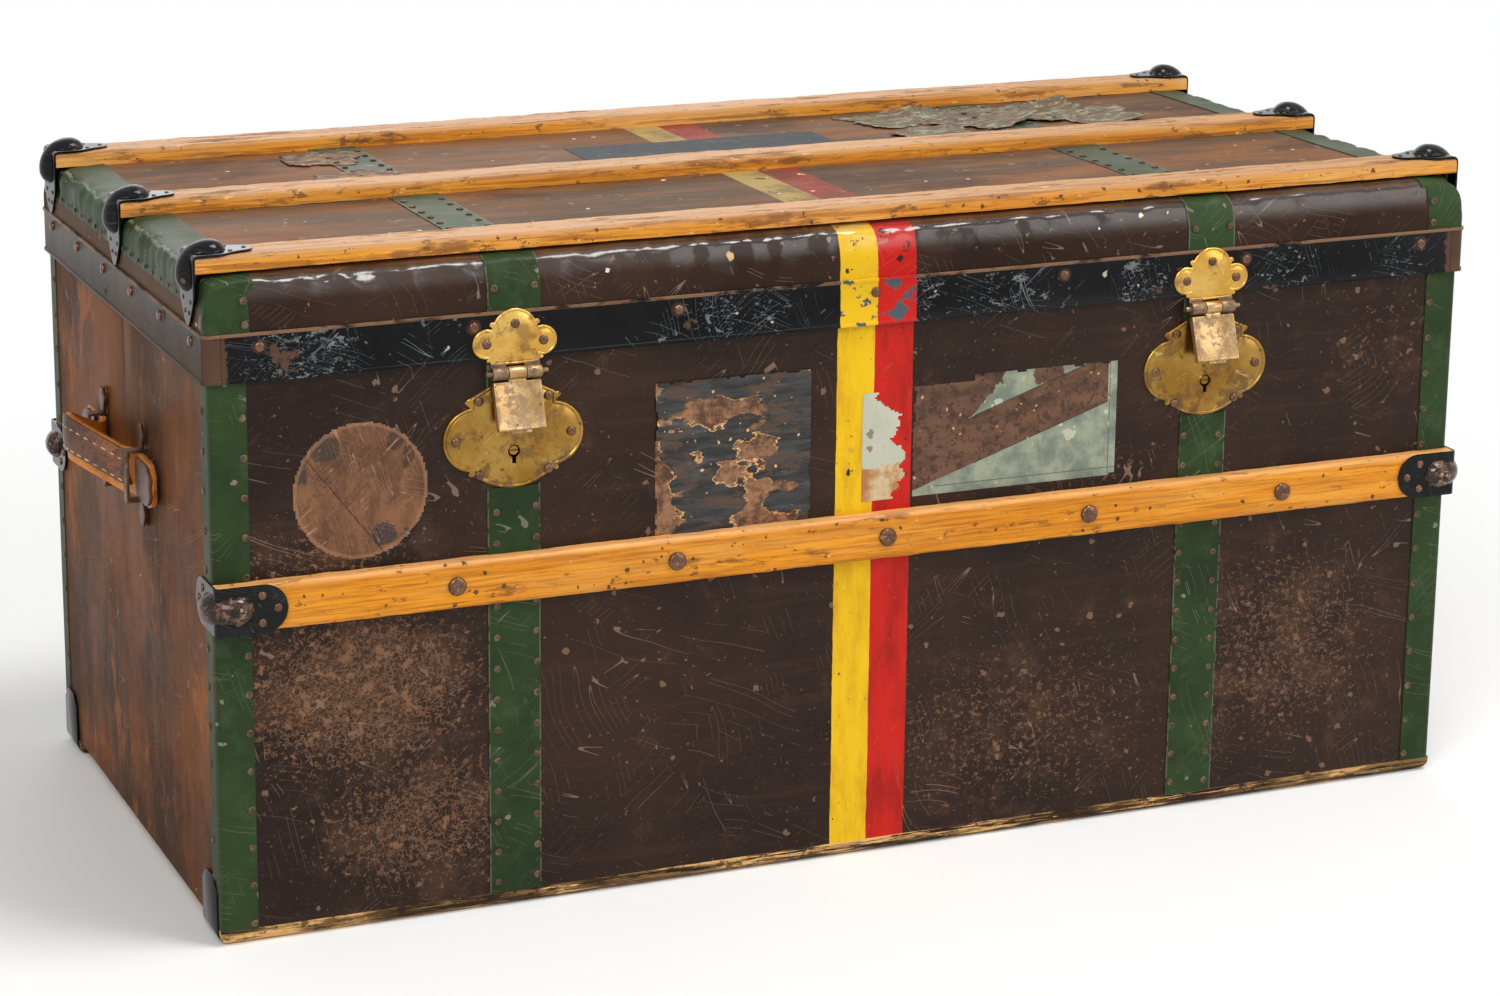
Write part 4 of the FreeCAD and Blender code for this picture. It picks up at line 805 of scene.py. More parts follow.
def makePale():        # grey-green paper, rubbed to brown along one broad slant
    made, shader, place, axes = newMaterial("palePaper", 0.3)
    u, v = axes[0], axes[2]
    cloud = noiseOf(place, 40.0, 5.0, 0.65)
    paper = mixed(ease(cloud, 0.35, 0.65), "#6c7568", "#959b84")
    scabs = maskOf(specks, place, Scale=80.0, Size=0.45, Share=0.26)
    paper = cover(paper, "#b9bda8", scabs, 0.8)
    stained = ease(noiseOf(place, 120.0, 5.0, 0.75), 0.56, 0.66)
    paper = cover(paper, "#5f6a5c", stained, 0.6)
    wild = times(minus(noiseOf(place, 45.0, 6.0, 0.65), 0.5), 0.02)
    slant = minus(v, times(minus(u, 0.035), 0.33))
    low = isAbove(plus(slant, times(wild, 0.12)), 0.2975)
    high = isBelow(plus(slant, times(wild, 0.06)), 0.3360)
    clear = isBelow(u, 0.2085)
    straight = times(times(low, high), clear)
    above = minus(minus(u, 0.095), times(minus(v, 0.36), 0.9))
    near = isBelow(plus(above, times(wild, 2.2)), 0.0)
    worn = times(low, near)
    worn = larger(worn, straight)
    top = times(inside(plus(u, wild), 0.142, 0.167, 0.001), isAbove(plus(v, wild), 0.374))
    worn = larger(worn, top)
    worn = times(worn, isAbove(u, 0.030))
    brown = mixed(ease(pulledNoise(place, (40, 1, 70), 5.0, 0.7), 0.35, 0.65), "#4b3325", "#6d4c37")
    pits = maskOf(scuffs, place, Scale=150.0, Width=0.16, Share=0.47)
    brown = cover(brown, "#33241c", pits, 0.7)
    colour = mixed(worn, paper, brown)
    # thin printed border of the sheet
    rim = larger(inside(u, 0.2098, 0.2106, 0.0002), inside(v, 0.2996, 0.3004, 0.0002))
    rim = times(rim, times(isAbove(u, 0.05), isBelow(noiseOf(place, 60.0, 3.0), 0.6)))
    colour = cover(colour, "#3d4a45", rim, 0.75)
    edgeOf = larger(inside(slant, 0.3356, 0.3366, 0.0002), inside(slant, 0.2969, 0.2979, 0.0002))
    edgeOf = times(edgeOf, times(clear, isAbove(u, 0.09)))
    colour = cover(colour, "#2b211d", edgeOf, 0.8)
    # the scrap left over the stripes is paler, with orange-brown spots
    scrap = isBelow(u, 0.030)
    low = isBelow(plus(v, wild), 0.322)
    scrapColour = mixed(low, mixed(cloud, "#a9ab98", "#c4c3ae"),
                        mixed(ease(cloud, 0.4, 0.6), "#a9713f", "#c9b28a"))
    marks = maskOf(specks, place, Scale=70.0, Size=0.42, Share=0.25)
    scrapColour = cover(scrapColour, "#7b5d49", marks, 0.8)
    colour = mixed(scrap, colour, scrapColour)
    flecks = maskOf(specks, place, Scale=180.0, Size=0.26, Share=0.14)
    colour = cover(colour, "#d3a26b", flecks, 0.8)
    fibre = noiseOf(place, 420.0, 3.0, 0.6)
    height = plus(times(fibre, 0.15), times(worn, -0.12))
    feed(shader, colour, spread(worn, 0.45, 0.65), height)
    return made


roundPatches = (   # middle, half size, colour
    ((-0.441, 0.380), (0.024, 0.012), "#3b2f27"), ((-0.462, 0.366), (0.010, 0.016), "#3b2f27"),
    ((-0.386, 0.382), (0.014, 0.009), "#35291f"), ((-0.377, 0.370), (0.009, 0.014), "#35291f"),
    ((-0.398, 0.309), (0.017, 0.011), "#23272e"))


def makeRoundPaper():
    made, shader, place, axes = newMaterial("roundPaper", 0.25)
    rubbed = pulledNoise(place, (70, 1, 24), 5.0, 0.7, turn=(0, 0.7, 0))
    colour = mixed(ease(rubbed, 0.34, 0.66), "#5b3c28", "#80573b")
    deep = maskOf(blotches, place, Scale=30.0, Low=0.5, High=0.62, Ragged=0.7)
    colour = cover(colour, "#4b3123", deep, 0.6)
    wild = times(minus(pulledNoise(place, (90, 1, 40), 6.0, 0.75, turn=(0, 0.7, 0)), 0.5), 3.2)
    for middle, size, tone in roundPatches:
        patch = isAbove(plus(roundPatch(axes[0], axes[2], middle, size, (0.1, 1.7)), wild), 0.75)
        colour = cover(colour, tone, patch, 0.8)
    crease = plus(times(plus(axes[0], 0.416), 0.79), times(minus(axes[2], 0.3415), 0.61))
    crease = plus(crease, times(wild, 0.0006))
    colour = cover(colour, "#2c1f18", inside(crease, -0.0145, -0.0135, 0.0002), 0.8)
    far = vectorMaths("DISTANCE", {0: flatPlace(axes[0], axes[2]), 1: (-0.416, 0.345, 0)}, "Value")
    rim = ease(far, 0.0485, 0.0505)
    colour = cover(colour, "#9c7456", rim, 0.45)
    lines = maskOf(scratches, flatPlace(axes[0], axes[2]), Scale=2.2, Width=0.008, Share=0.46)
    colour = cover(colour, "#b28e70", lines, 0.5)
    dark = maskOf(specks, place, Scale=190.0, Size=0.3, Share=0.2)
    colour = cover(colour, "#38261c", dark, 0.7)
    feed(shader, colour, spread(rubbed, 0.55, 0.75), times(noiseOf(place, 320.0, 3.0, 0.6), 0.2))
    return made


def makePlainPaper(name, base, tone, mark, rub, bare):   # bare: a lower number shows more brown
    made, shader, place, _ = newMaterial(name, 0.1)
    cloud = pulledNoise(place, (18, 30, 30), 5.0, 0.65)
    colour = mixed(ease(cloud, 0.35, 0.65), base, tone)
    pale = pulledNoise(place, (80, 120, 120), 5.0, 0.72, shift=(3, 1, 1))
    colour = cover(colour, rub, ease(pale, bare, bare + 0.04), 0.7)
    spots = pulledNoise(place, (60, 110, 110), 6.0, 0.72)
    colour = cover(colour, mark, ease(spots, bare - 0.02, bare + 0.01), 0.85)
    lines = maskOf(scratches, place, Scale=1.4, Width=0.006, Share=0.46)
    flecks = maskOf(specks, place, Scale=150.0, Size=0.26, Share=0.12)
    colour = cover(colour, rub, larger(lines, flecks), 0.6)
    feed(shader, colour, spread(cloud, 0.45, 0.65), times(noiseOf(place, 260.0, 3.0, 0.6), 0.2))
    return made


finishes = {
    "covering": makeCovering(),
    "lid_covering": makeLidCovering(),
    "binding": makeBinding("greenBinding", False),
    "lidBinding": makeBinding("fadedGreenBinding", True),
    "pine_slat": makePine("lidPine", lidPine),
    "side_slat": makePine("honeyPine", sidePine),
    "bottom_slat": makePine("scuffedRunnerWood", bottomPine),
    "board": makePine("boardPine", boardPine),
    "tray_wood": makePine("trayPine", trayPine),
    "valance": makeValance(),
    "lock_brass": makeMetal("wornBrass", brassLook),
    "haspBrass": makeMetal("mottledBrass", haspLook),
    "haspPlateBrass": makeMetal("brassPaintedReflection", haspPlatePaintedReflectionLook),
    "lock_steel": makeMetal("darkSteel", darkSteelLook),
    "hinge_steel": makeMetal("hingeSteel", darkSteelLook),
    "knuckle": makeMetal("dullKnuckle", knuckleLook),
    "rivets": makeMetal("oldCopper", copperLook),
    "bridge_iron": makeMetal("bridgeIron", bridgeLook),
    "black_iron": makeMetal("blackEnamel", enamelLook),
    "handle_leather": makeLeather("darkLeather", topLeather),
    "underLeather": makeLeather("orangeLeather", underLeather),
    "tab_leather": makeLeather("tabLeather", topLeather),
    "lining": makePaper(),
    "nails": makeMetal("nailSteel", nailLook),
    "pitNails": makeMetal("pitNails", darkSteelLook),
    "wornEnamel": makeMetal("wornEnamel", wornEnamelLook),
    "thread": makeThread(),
    "charredPaper": makeCharred(),
    "palePaper": makePale(),
    "roundPaper": makeRoundPaper(),
    "bluePaper": makePlainPaper("bluePaper", "#1f2529", "#2d3337", "#4a3b2f", "#6b675f", 0.62),
    "tornPaper": makePlainPaper("tornPaper", "#54523f", "#6f705a", "#5d3f2b", "#a39a7e", 0.5),
    "brownPaper": makePlainPaper("brownPaper", "#66462f", "#7d6046", "#3f2c20", "#a38a69", 0.53),
}
print("finishes ready:", len(finishes))

for nodeName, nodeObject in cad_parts.items():
    for place in nodeObject.material_slots:
        slotName = place.material.name.split(".")[0]
        if slotName == "binding" and nodeName.startswith("lid"):
            slotName = "lidBinding"
        place.material = finishes[slotName]


# modelling helpers
def noiseAt(x, y, z):
    return noise.noise(Vector((x, y, z)))


def pick(*pieces):
    bpy.ops.object.select_all(action="DESELECT")
    for piece in pieces:
        piece.select_set(True)
    bpy.context.view_layer.objects.active = pieces[0]


def added(name, make, **settings):   # one of the ready solids, with its size and turn applied
    bpy.ops.object.select_all(action="DESELECT")
    make(**settings)
    piece = bpy.context.object
    piece.name = piece.data.name = name
    bpy.ops.object.transform_apply(location=True, rotation=True, scale=True)
    return piece


def addBlock(name, low, high):
    middle = [(a + b) / 2 for a, b in zip(low, high)]
    size = [b - a for a, b in zip(low, high)]
    return added(name, bpy.ops.mesh.primitive_cube_add, size=1, location=middle, scale=size)


alongX, alongY = (0, math.pi / 2, 0), (math.pi / 2, 0, 0)


def addRod(name, middle, radius, length, sides=32, turn=alongY):
    return added(name, bpy.ops.mesh.primitive_cylinder_add, vertices=sides, radius=radius, depth=length,
                 location=middle, rotation=turn)


def addBall(name, scale, segments, rings):
    return added(name, bpy.ops.mesh.primitive_uv_sphere_add, segments=segments, ring_count=rings,
                 radius=1, location=(0, 0, 0), scale=scale)


def addGrid(name, across, along):   # a flat unit grid that is then laid over a form
    return added(name, bpy.ops.mesh.primitive_grid_add, x_subdivisions=across, y_subdivisions=along, size=1)


def chooseNothing(piece, mode):
    pick(piece)
    bpy.context.tool_settings.mesh_select_mode = mode
    for parts in (piece.data.vertices, piece.data.edges, piece.data.polygons):
        parts.foreach_set("select", [False] * len(parts))


def chooseFaces(piece, test):
    chooseNothing(piece, (False, False, True))
    for face in piece.data.polygons:
        face.select = bool(test(face.center, face.normal))
    bpy.ops.object.mode_set(mode="EDIT")


def chooseEdges(piece, test):
    chooseNothing(piece, (False, True, False))
    points = piece.data.vertices
    for edge in piece.data.edges:
        edge.select = bool(test(points[edge.vertices[0]].co, points[edge.vertices[1]].co))
    bpy.ops.object.mode_set(mode="EDIT")


def editAll(piece):
    pick(piece)
    bpy.context.tool_settings.mesh_select_mode = (False, False, True)
    bpy.ops.object.mode_set(mode="EDIT")
    bpy.ops.mesh.select_all(action="SELECT")


def leaveEdit():
    bpy.ops.object.mode_set(mode="OBJECT")


def dropFaces(piece, test):
    chooseFaces(piece, test)
    bpy.ops.mesh.delete(type="FACE")
    leaveEdit()


def insetFaces(piece, test, steps):   # steps: thickness and depth of each inset in turn
    chooseFaces(piece, test)
    for thickness, depth in steps:
        bpy.ops.mesh.inset(thickness=thickness, depth=depth)
    leaveEdit()


def facesFront(centre, normal):
    return normal[1] < -0.9


def cutEdges(piece, cuts, test):
    chooseEdges(piece, test)
    bpy.ops.mesh.subdivide(number_cuts=cuts)
    leaveEdit()


def tidyNormals(piece, gap=0.00002):
    editAll(piece)
    bpy.ops.mesh.remove_doubles(threshold=gap)
    bpy.ops.mesh.normals_make_consistent(inside=False)
    leaveEdit()


def useModifier(piece, kind, **settings):
    pick(piece)
    made = piece.modifiers.new(kind.lower(), kind)
    for setting, value in settings.items():
        setattr(made, setting, value)
    bpy.ops.object.modifier_apply(modifier=made.name)


def softenEdges(piece, width, segments=2, angle=30):
    useModifier(piece, "BEVEL", width=width, segments=segments, limit_method="ANGLE",
                angle_limit=math.radians(angle), use_clamp_overlap=True)


def smooth(piece, angle=40):
    pick(piece)
    bpy.ops.object.shade_smooth_by_angle(angle=math.radians(angle))


def cutBy(piece, tool, operation="DIFFERENCE"):
    useModifier(piece, "BOOLEAN", operation=operation, solver="EXACT", object=tool)
    bpy.data.objects.remove(tool)


def joined(name, pieces):
    pick(*pieces)
    if len(pieces) > 1:
        bpy.ops.object.join()
    piece = bpy.context.object
    piece.name = piece.data.name = name
    return piece


def copied(piece, matrix=None):
    twin = piece.copy()
    twin.data = piece.data.copy()
    bpy.context.scene.collection.objects.link(twin)
    if matrix is not None:
        twin.data.transform(matrix)
        if matrix.determinant() < 0:
            twin.data.flip_normals()
    return twin


def moved(x, y, z):
    return Matrix.Translation((x, y, z))


def turned(angle, axis, centre=(0, 0, 0)):
    return moved(*centre) @ Matrix.Rotation(math.radians(angle), 4, axis) @ moved(*[-c for c in centre])


flipX = Matrix.Scale(-1, 4, (1, 0, 0))
flipY = Matrix.Scale(-1, 4, (0, 1, 0))


def settle(piece, body, slotName, *nodes, finish=None):   # its finish is the slot's own unless given
    piece.data.materials.clear()
    piece.data.materials.append(finishes[finish or slotName])
    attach(piece, body)
    if nodes:
        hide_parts(*nodes)
    return piece


def nodeCopy(name, node):    # a node's own form as one merged mesh
    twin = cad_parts[node].copy()
    twin.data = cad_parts[node].data.copy()
    for key in list(twin.keys()):
        del twin[key]
    twin.parent = None
    bpy.context.scene.collection.objects.link(twin)
    twin.name = twin.data.name = name
    editAll(twin)
    bpy.ops.mesh.remove_doubles(threshold=0.00002)
    bpy.ops.mesh.dissolve_limited(angle_limit=math.radians(3))
    leaveEdit()
    return twin


def dressedCopy(name, node, width, body, slotName):   # the same with softened edges
    twin = nodeCopy(name, node)
    softenEdges(twin, width, 2, 28)
    smooth(twin, 35)
    settle(twin, body, slotName, node)


# slats
slatBuild = {"round": 0.0042, "cuts": 100, "wear": 0.0011, "wearSize": 0.016, "chipSize": 0.05}


def wearTexture(name, size):
    cloud = bpy.data.textures.new(name, "CLOUDS")
    cloud.noise_scale = size
    cloud.noise_depth = 2
    return cloud


def makeSlat(name, node, body, slotName, outward):
    low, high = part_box(node)
    slat = addBlock(name, low, high)
    face = high[outward[0]] if outward[1] > 0 else low[outward[0]]
    chooseEdges(slat, lambda a, b: abs(a[0] - b[0]) > 0.5 and abs(a[outward[0]] - face) < 0.0001)
    bpy.ops.mesh.bevel(offset=slatBuild["round"], segments=4, profile=0.5)
    leaveEdit()
    cutEdges(slat, slatBuild["cuts"], lambda a, b: abs(a[0] - b[0]) > 0.5)
    cutEdges(slat, 1, lambda a, b: abs(a[0] - b[0]) > 0.004)
    cross = 1 if outward[0] == 2 else 2
    cutEdges(slat, 6, lambda a, b: abs(a[cross] - b[cross]) > 0.02)
    for word, size in (("Wear", slatBuild["wearSize"]), ("Bow", slatBuild["chipSize"])):
        useModifier(slat, "DISPLACE", texture=wearTexture(name + word, size),
                    strength=-slatBuild["wear"], mid_level=0.35, texture_coords="LOCAL")
    smooth(slat, 50)
    settle(slat, body, slotName, node)


for place in ("front", "middle", "back"):
    makeSlat(place + "LidSlat", "lid_" + place + "_slat", "lid", "pine_slat", (2, 1))
makeSlat("frontSlat", "front_slat", "base", "side_slat", (1, -1))
makeSlat("backSlat", "back_slat", "base", "side_slat", (1, 1))
print("slats ready")


# lid covering with its dents, and the green strips that follow them
lidBuild = {"low": (-0.533, -0.253, 0.452), "high": (0.533, 0.253, 0.515), "edge": 0.012,
            "corner": 0.005, "bandLow": 0.275, "bandHigh": 0.317, "bandThickness": 0.0009,
            "topTo": 0.494, "frontTo": 0.499, "endLow": 0.487, "longAt": 0.2475, "longLow": 0.507,
            "valanceTop": 0.470}


def dentAt(p):   # how far the covering gives: crumpled top edges, pleated ends, slow hollows elsewhere
    x, y, z = p
    slow = noiseAt(x * 9, y * 9, z * 9) * 0.0007
    near = max(0.0, 1 - max(0.0, 0.515 - z) / 0.034) * max(0.0, 1 - max(0.0, 0.253 - abs(y)) / 0.022)
    wave = abs(noiseAt(x * 34, y * 6, z * 22 + 3)) + 0.55 * abs(noiseAt(x * 80, y * 9, z * 60))
    where = 0.45 + 0.75 * max(0.0, noiseAt(x * 5.5, 2.3, y * 2)) + 0.5 * math.exp(-((x + 0.41) / 0.09) ** 2)
    give = -0.0085 * near * wave * where
    endNear = max(0.0, (abs(x) - 0.495) / 0.036)
    if endNear > 0:
        pleat = abs(noiseAt(x * 7, y * 52, z * 12)) + 0.5 * abs(noiseAt(x * 20, y * 120, z * 30))
        fade = min(1.0, max(0.0, (z - 0.484) / 0.012))
        sunk = min(1.0, max(0.0, (0.258 - abs(y)) / 0.01 + 0.3))
        give -= 0.0042 * min(1.0, endNear) * pleat * fade * sunk
    # the front edge leans in, with one big knock beside the left lock
    front = min(1.0, max(0.0, (-0.222 - y) / 0.02))
    rise = min(1.0, max(0.0, (z - 0.489) / 0.016))
    give -= front * 0.0032 * rise * rise * (3 - 2 * rise)
    give -= front * 0.0021 * math.exp(-((x + 0.222) / 0.034) ** 2 - ((z - 0.4925) / 0.0065) ** 2)
    return slow + give


def makeLidShell():
    look = lidBuild
    shell = addBlock("lidShell", look["low"], look["high"])
    dropFaces(shell, lambda centre, normal: normal[2] < -0.5)
    weights = shell.data.attributes.new("bevel_weight_edge", "FLOAT", "EDGE")
    points = shell.data.vertices
    for edge in shell.data.edges:
        a, b = (points[i].co for i in edge.vertices)
        if abs(a[2] - b[2]) > 0.01:
            weights.data[edge.index].value = look["corner"] / look["edge"]
        elif a[2] > 0.5:
            weights.data[edge.index].value = 1.0
    useModifier(shell, "BEVEL", width=look["edge"], segments=6, limit_method="WEIGHT",
                use_clamp_overlap=False)
    for axis, longer, cuts in ((0, 0.4, 100), (1, 0.3, 50), (2, 0.02, 12)):
        cutEdges(shell, cuts, lambda a, b: abs(a[axis] - b[axis]) > longer)
    cutEdges(shell, 1, lambda a, b: abs(a[0] - b[0]) > 0.006)
    cutEdges(shell, 1, lambda a, b: abs(a[1] - b[1]) > 0.006 and abs(a[0]) > 0.52 and abs(b[0]) > 0.52)
    tidyNormals(shell)
    normals = [v.normal.copy() for v in shell.data.vertices]
    for vertex, normal in zip(shell.data.vertices, normals):
        if vertex.co[2] > look["valanceTop"]:
            vertex.co += normal * dentAt(vertex.co)
    return shell


def sliced(piece, place, normal, clear=False):   # cut by a plane; clear takes the side it faces away
    editAll(piece)
    bpy.ops.mesh.bisect(plane_co=place, plane_no=normal, clear_outer=clear)
    leaveEdit()


def makeLidSkin():
    look = lidBuild
    shell = makeLidShell()
    strips = []
    for side, word in ((-1, "left"), (1, "right")):
        band = copied(shell)
        sliced(band, (side * look["bandLow"], 0, 0), (-side, 0, 0), True)
        sliced(band, (side * look["bandHigh"], 0, 0), (side, 0, 0), True)
        sliced(band, (0, 0, look["valanceTop"]), (0, 0, -1), True)
        useModifier(band, "SOLIDIFY", thickness=look["bandThickness"], offset=1)
        strips.append(band)
        cap = copied(shell)
        sliced(cap, (side * look["topTo"], 0, 0), (-side, 0, 0), True)
        sliced(cap, (0, 0, look["valanceTop"]), (0, 0, -1), True)
        sliced(cap, (side * look["frontTo"], 0, 0), (1, 0, 0))
        sliced(cap, (0, 0, look["endLow"]), (0, 0, 1))
        for y in (-look["longAt"], look["longAt"]):
            sliced(cap, (0, y, 0), (0, 1, 0))

        def spare(centre, normal):
            if abs(centre[1]) > look["longAt"]:
                return abs(centre[0]) < look["frontTo"] and centre[2] < look["longLow"]
            return centre[2] < look["endLow"]

        dropFaces(cap, spare)
        useModifier(cap, "SOLIDIFY", thickness=look["bandThickness"], offset=1)
        smooth(cap, 60)
        cap.name = cap.data.name = word + "LidCap"
        settle(cap, "lid", "binding", "lid_" + word + "_binding", finish="lidBinding")
    bands = joined("lidBands", strips)
    smooth(bands, 60)
    settle(bands, "lid", "binding", "lid_bands", finish="lidBinding")
    useModifier(shell, "SOLIDIFY", thickness=0.0011, offset=-1)
    smooth(shell, 60)
    shell.name = shell.data.name = "lidSkin"
    settle(shell, "lid", "lid_covering", "lid_covering")


makeLidSkin()
print("lid covering ready")


# lid boards, rounded off under the covering so that its dents have room
boardRoom = {"low": (-0.5296, -0.2496, 0.40), "high": (0.5296, 0.2496, 0.5112), "edge": 0.022}


def makeLidBoards():
    look = boardRoom
    room = addBlock("boardRoom", look["low"], look["high"])
    chooseEdges(room, lambda a, b: a[2] > 0.5 and b[2] > 0.5)
    bpy.ops.mesh.bevel(offset=look["edge"], segments=6)
    leaveEdit()
    for word in ("top", "front", "back", "left", "right"):
        board = nodeCopy(word + "LidBoard", "lid_" + word + "_board")
        cutBy(board, copied(room), "INTERSECT")
        softenEdges(board, 0.0008, 1, 28)
        smooth(board, 35)
        settle(board, "lid", "board", "lid_" + word + "_board")
    bpy.data.objects.remove(room)


makeLidBoards()


# small heads, each modelled once and then copied
def makeDome(name, radius, rise, dimple=0.0):   # a round head that stands on y = 0 and faces -Y
    head = addRod(name, (0, -rise * 0.2, 0), radius, rise * 0.4, 20)
    steps = [(radius * share, rise * up) for share, up in ((0.12, 0.26), (0.2, 0.2), (0.26, 0.1))]
    if dimple:
        steps += [(radius * 0.12, 0), (radius * 0.05, -dimple)]
    insetFaces(head, facesFront, steps)
    smooth(head, 60)
    return head


def makeRingNail(name, radius):    # a small nail with a rolled rim and a sunk middle
    head = addRod(name, (0, -0.00035, 0), radius, 0.0007, 12)
    insetFaces(head, facesFront, [(radius * 0.16, 0.0003), (radius * 0.2, 0), (radius * 0.1, -0.0006)])
    smooth(head, 50)
    return head


def facing(side):   # turns a head that faces -Y towards another side
    return {"front": Matrix.Identity(4), "back": turned(180, "Z"), "left": turned(-90, "Z"),
            "right": turned(90, "Z"), "top": turned(-90, "X")}[side]


def scatter(name, head, places, finish, body, slotName, *nodes):
    dice = random.Random(name)
    made = []
    for x, y, z, side in places:
        roll = Matrix.Rotation(dice.uniform(0, math.tau), 4, "Y")
        roll = roll @ Matrix.Rotation(dice.uniform(-0.06, 0.06), 4, "X")
        made.append(copied(head, moved(x, y, z) @ facing(side) @ roll))
    settle(joined(name, made), body, slotName, *nodes, finish=finish)


def bothFaces(x, y, z):
    return [(x, -y, z, "front"), (x, y, z, "back")]


def bothEnds(x, y, z):
    return [(-x, y, z, "left"), (x, y, z, "right")]


headBuild = {"slat": (0.0072, 0.0034), "valance": (0.004, 0.002), "plate": (0.0036, 0.0023),
             "clamp": (0.0032, 0.0014), "tack": (0.0017, 0.0009), "nail": 0.0028}
slatHead = makeDome("slatHead", *headBuild["slat"], dimple=0.0004)
valanceHead = makeDome("valanceHead", *headBuild["valance"])
plateHead = makeDome("plateHead", *headBuild["plate"])
clampHead = makeDome("clampHead", *headBuild["clamp"])
tackHead = makeDome("tackHead", *headBuild["tack"])
ringNail = makeRingNail("ringNail", headBuild["nail"])
nailBuild = {   # how far out the surfaces lie that the heads stand on
    "slat": 0.2620, "valance": 0.2543, "valanceEnd": 0.5343, "board": 0.2510, "boardEnd": 0.5310,
    "lid": 0.2541, "lidTop": 0.5163, "lidEnd": 0.5338,
}

alongSlat = (-0.3455, -0.1675, 0.0105, 0.1885, 0.3665)
slatRivets = [p for x in alongSlat for p in bothFaces(x, nailBuild["slat"], 0.2665)]
scatter("slatRivets", slatHead, slatRivets, "rivets", "base", "rivets", "slat_rivets")
alongFront = (0, 0.164, 0.328, 0.492, -0.164, -0.328, -0.492)
alongEnd = (0.044, 0.132, 0.220, -0.044, -0.132, -0.220)
valanceRivets = [p for x in alongFront for p in bothFaces(x, nailBuild["valance"], 0.462)]
valanceRivets += [p for y in alongEnd for p in bothEnds(nailBuild["valanceEnd"], y, 0.462)]
scatter("valanceRivets", valanceHead, valanceRivets, "rivets", "lid", "rivets", "valance_rivets")

stripNails = []
face = nailBuild["board"]
for step in range(15):
    z = 0.0165 + step * 0.0302
    if not 0.246 < z < 0.287 and z < 0.433:
        stripNails += bothFaces(-0.5053, face, z) + bothFaces(0.5053, face, z + 0.002)
        for y in (-0.2345, 0.2345):
            stripNails += bothEnds(nailBuild["boardEnd"], y, z + 0.004)
for step in range(18):
    z = 0.0210 + step * 0.0247
    if 0.244 < z < 0.289 or z > 0.428:
        continue
    for side in (-1, 1):
        for x, shift in ((0.3105, 0.0), (0.2785, 0.0022)):
            if not 0.325 < z < 0.428:    # none behind the lock plates
                stripNails.append((side * x, -face, z + shift, "front"))
            if not 0.383 < z < 0.428 or x < 0.28:
                stripNails.append((side * x, face, z + shift, "back"))
scatter("stripNails", ringNail, stripNails, "nails", "base", "rivets")

lidNails = []
lidFace = nailBuild["lid"]
for side in (-1, 1):
    for x in (0.3120, 0.2805):
        lidNails += bothFaces(side * x, lidFace, 0.4905)
        for step in range(17):
            y = -0.176 + step * 0.022
            if abs(y) > 0.026:
                lidNails.append((side * x, y, nailBuild["lidTop"], "top"))
    lidNails += [(side * 0.5030, -0.2526, 0.4965, "front"), (side * 0.5030, lidFace, 0.4975, "back")]
    lidNails += bothFaces(side * 0.5028, lidFace, 0.4790)
scatter("lidNails", ringNail, lidNails, "nails", "lid", "rivets")
tacks = []
for step in range(21):
    y = -0.228 + step * 0.0228
    if abs(y) > 0.022 and abs(abs(y) - 0.218) > 0.022:
        tacks += bothEnds(nailBuild["lidEnd"], y, 0.4915)
scatter("endTacks", tackHead, tacks, "black_iron", "lid", "black_iron")
print("nails ready")


# clamps on the slat ends
clampBuild = {"thickness": 0.0016, "bend": 0.003, "domeRadius": 0.0126, "domeBend": 0.0134,
              "domeRise": 0.008}
pointedTongue = [(0, 19), (18, 19), (24, 17.4), (29, 14), (35, 11), (41, 9.6), (45, 7.6), (47.3, 4.4),
                 (48, 1.2)]
pointedLeg = [(0, 19), (30, 19), (36, 16.5), (43, 11.5), (49, 7.5), (52, 4.5), (53, 1.5)]


def roundEnd(length, half):
    return [(0, half)] + [(length - half + half * math.sin(t), half * math.cos(t) + 0.02)
                          for t in [i * math.pi / 20 for i in range(0, 11)]]


def widthAt(outline, s):
    for (a, wide), (b, wider) in zip(outline, outline[1:]):
        if s <= b:
            return (wide + (wider - wide) * max(0.0, (s - a)) / (b - a)) * mm
    return outline[-1][1] * mm


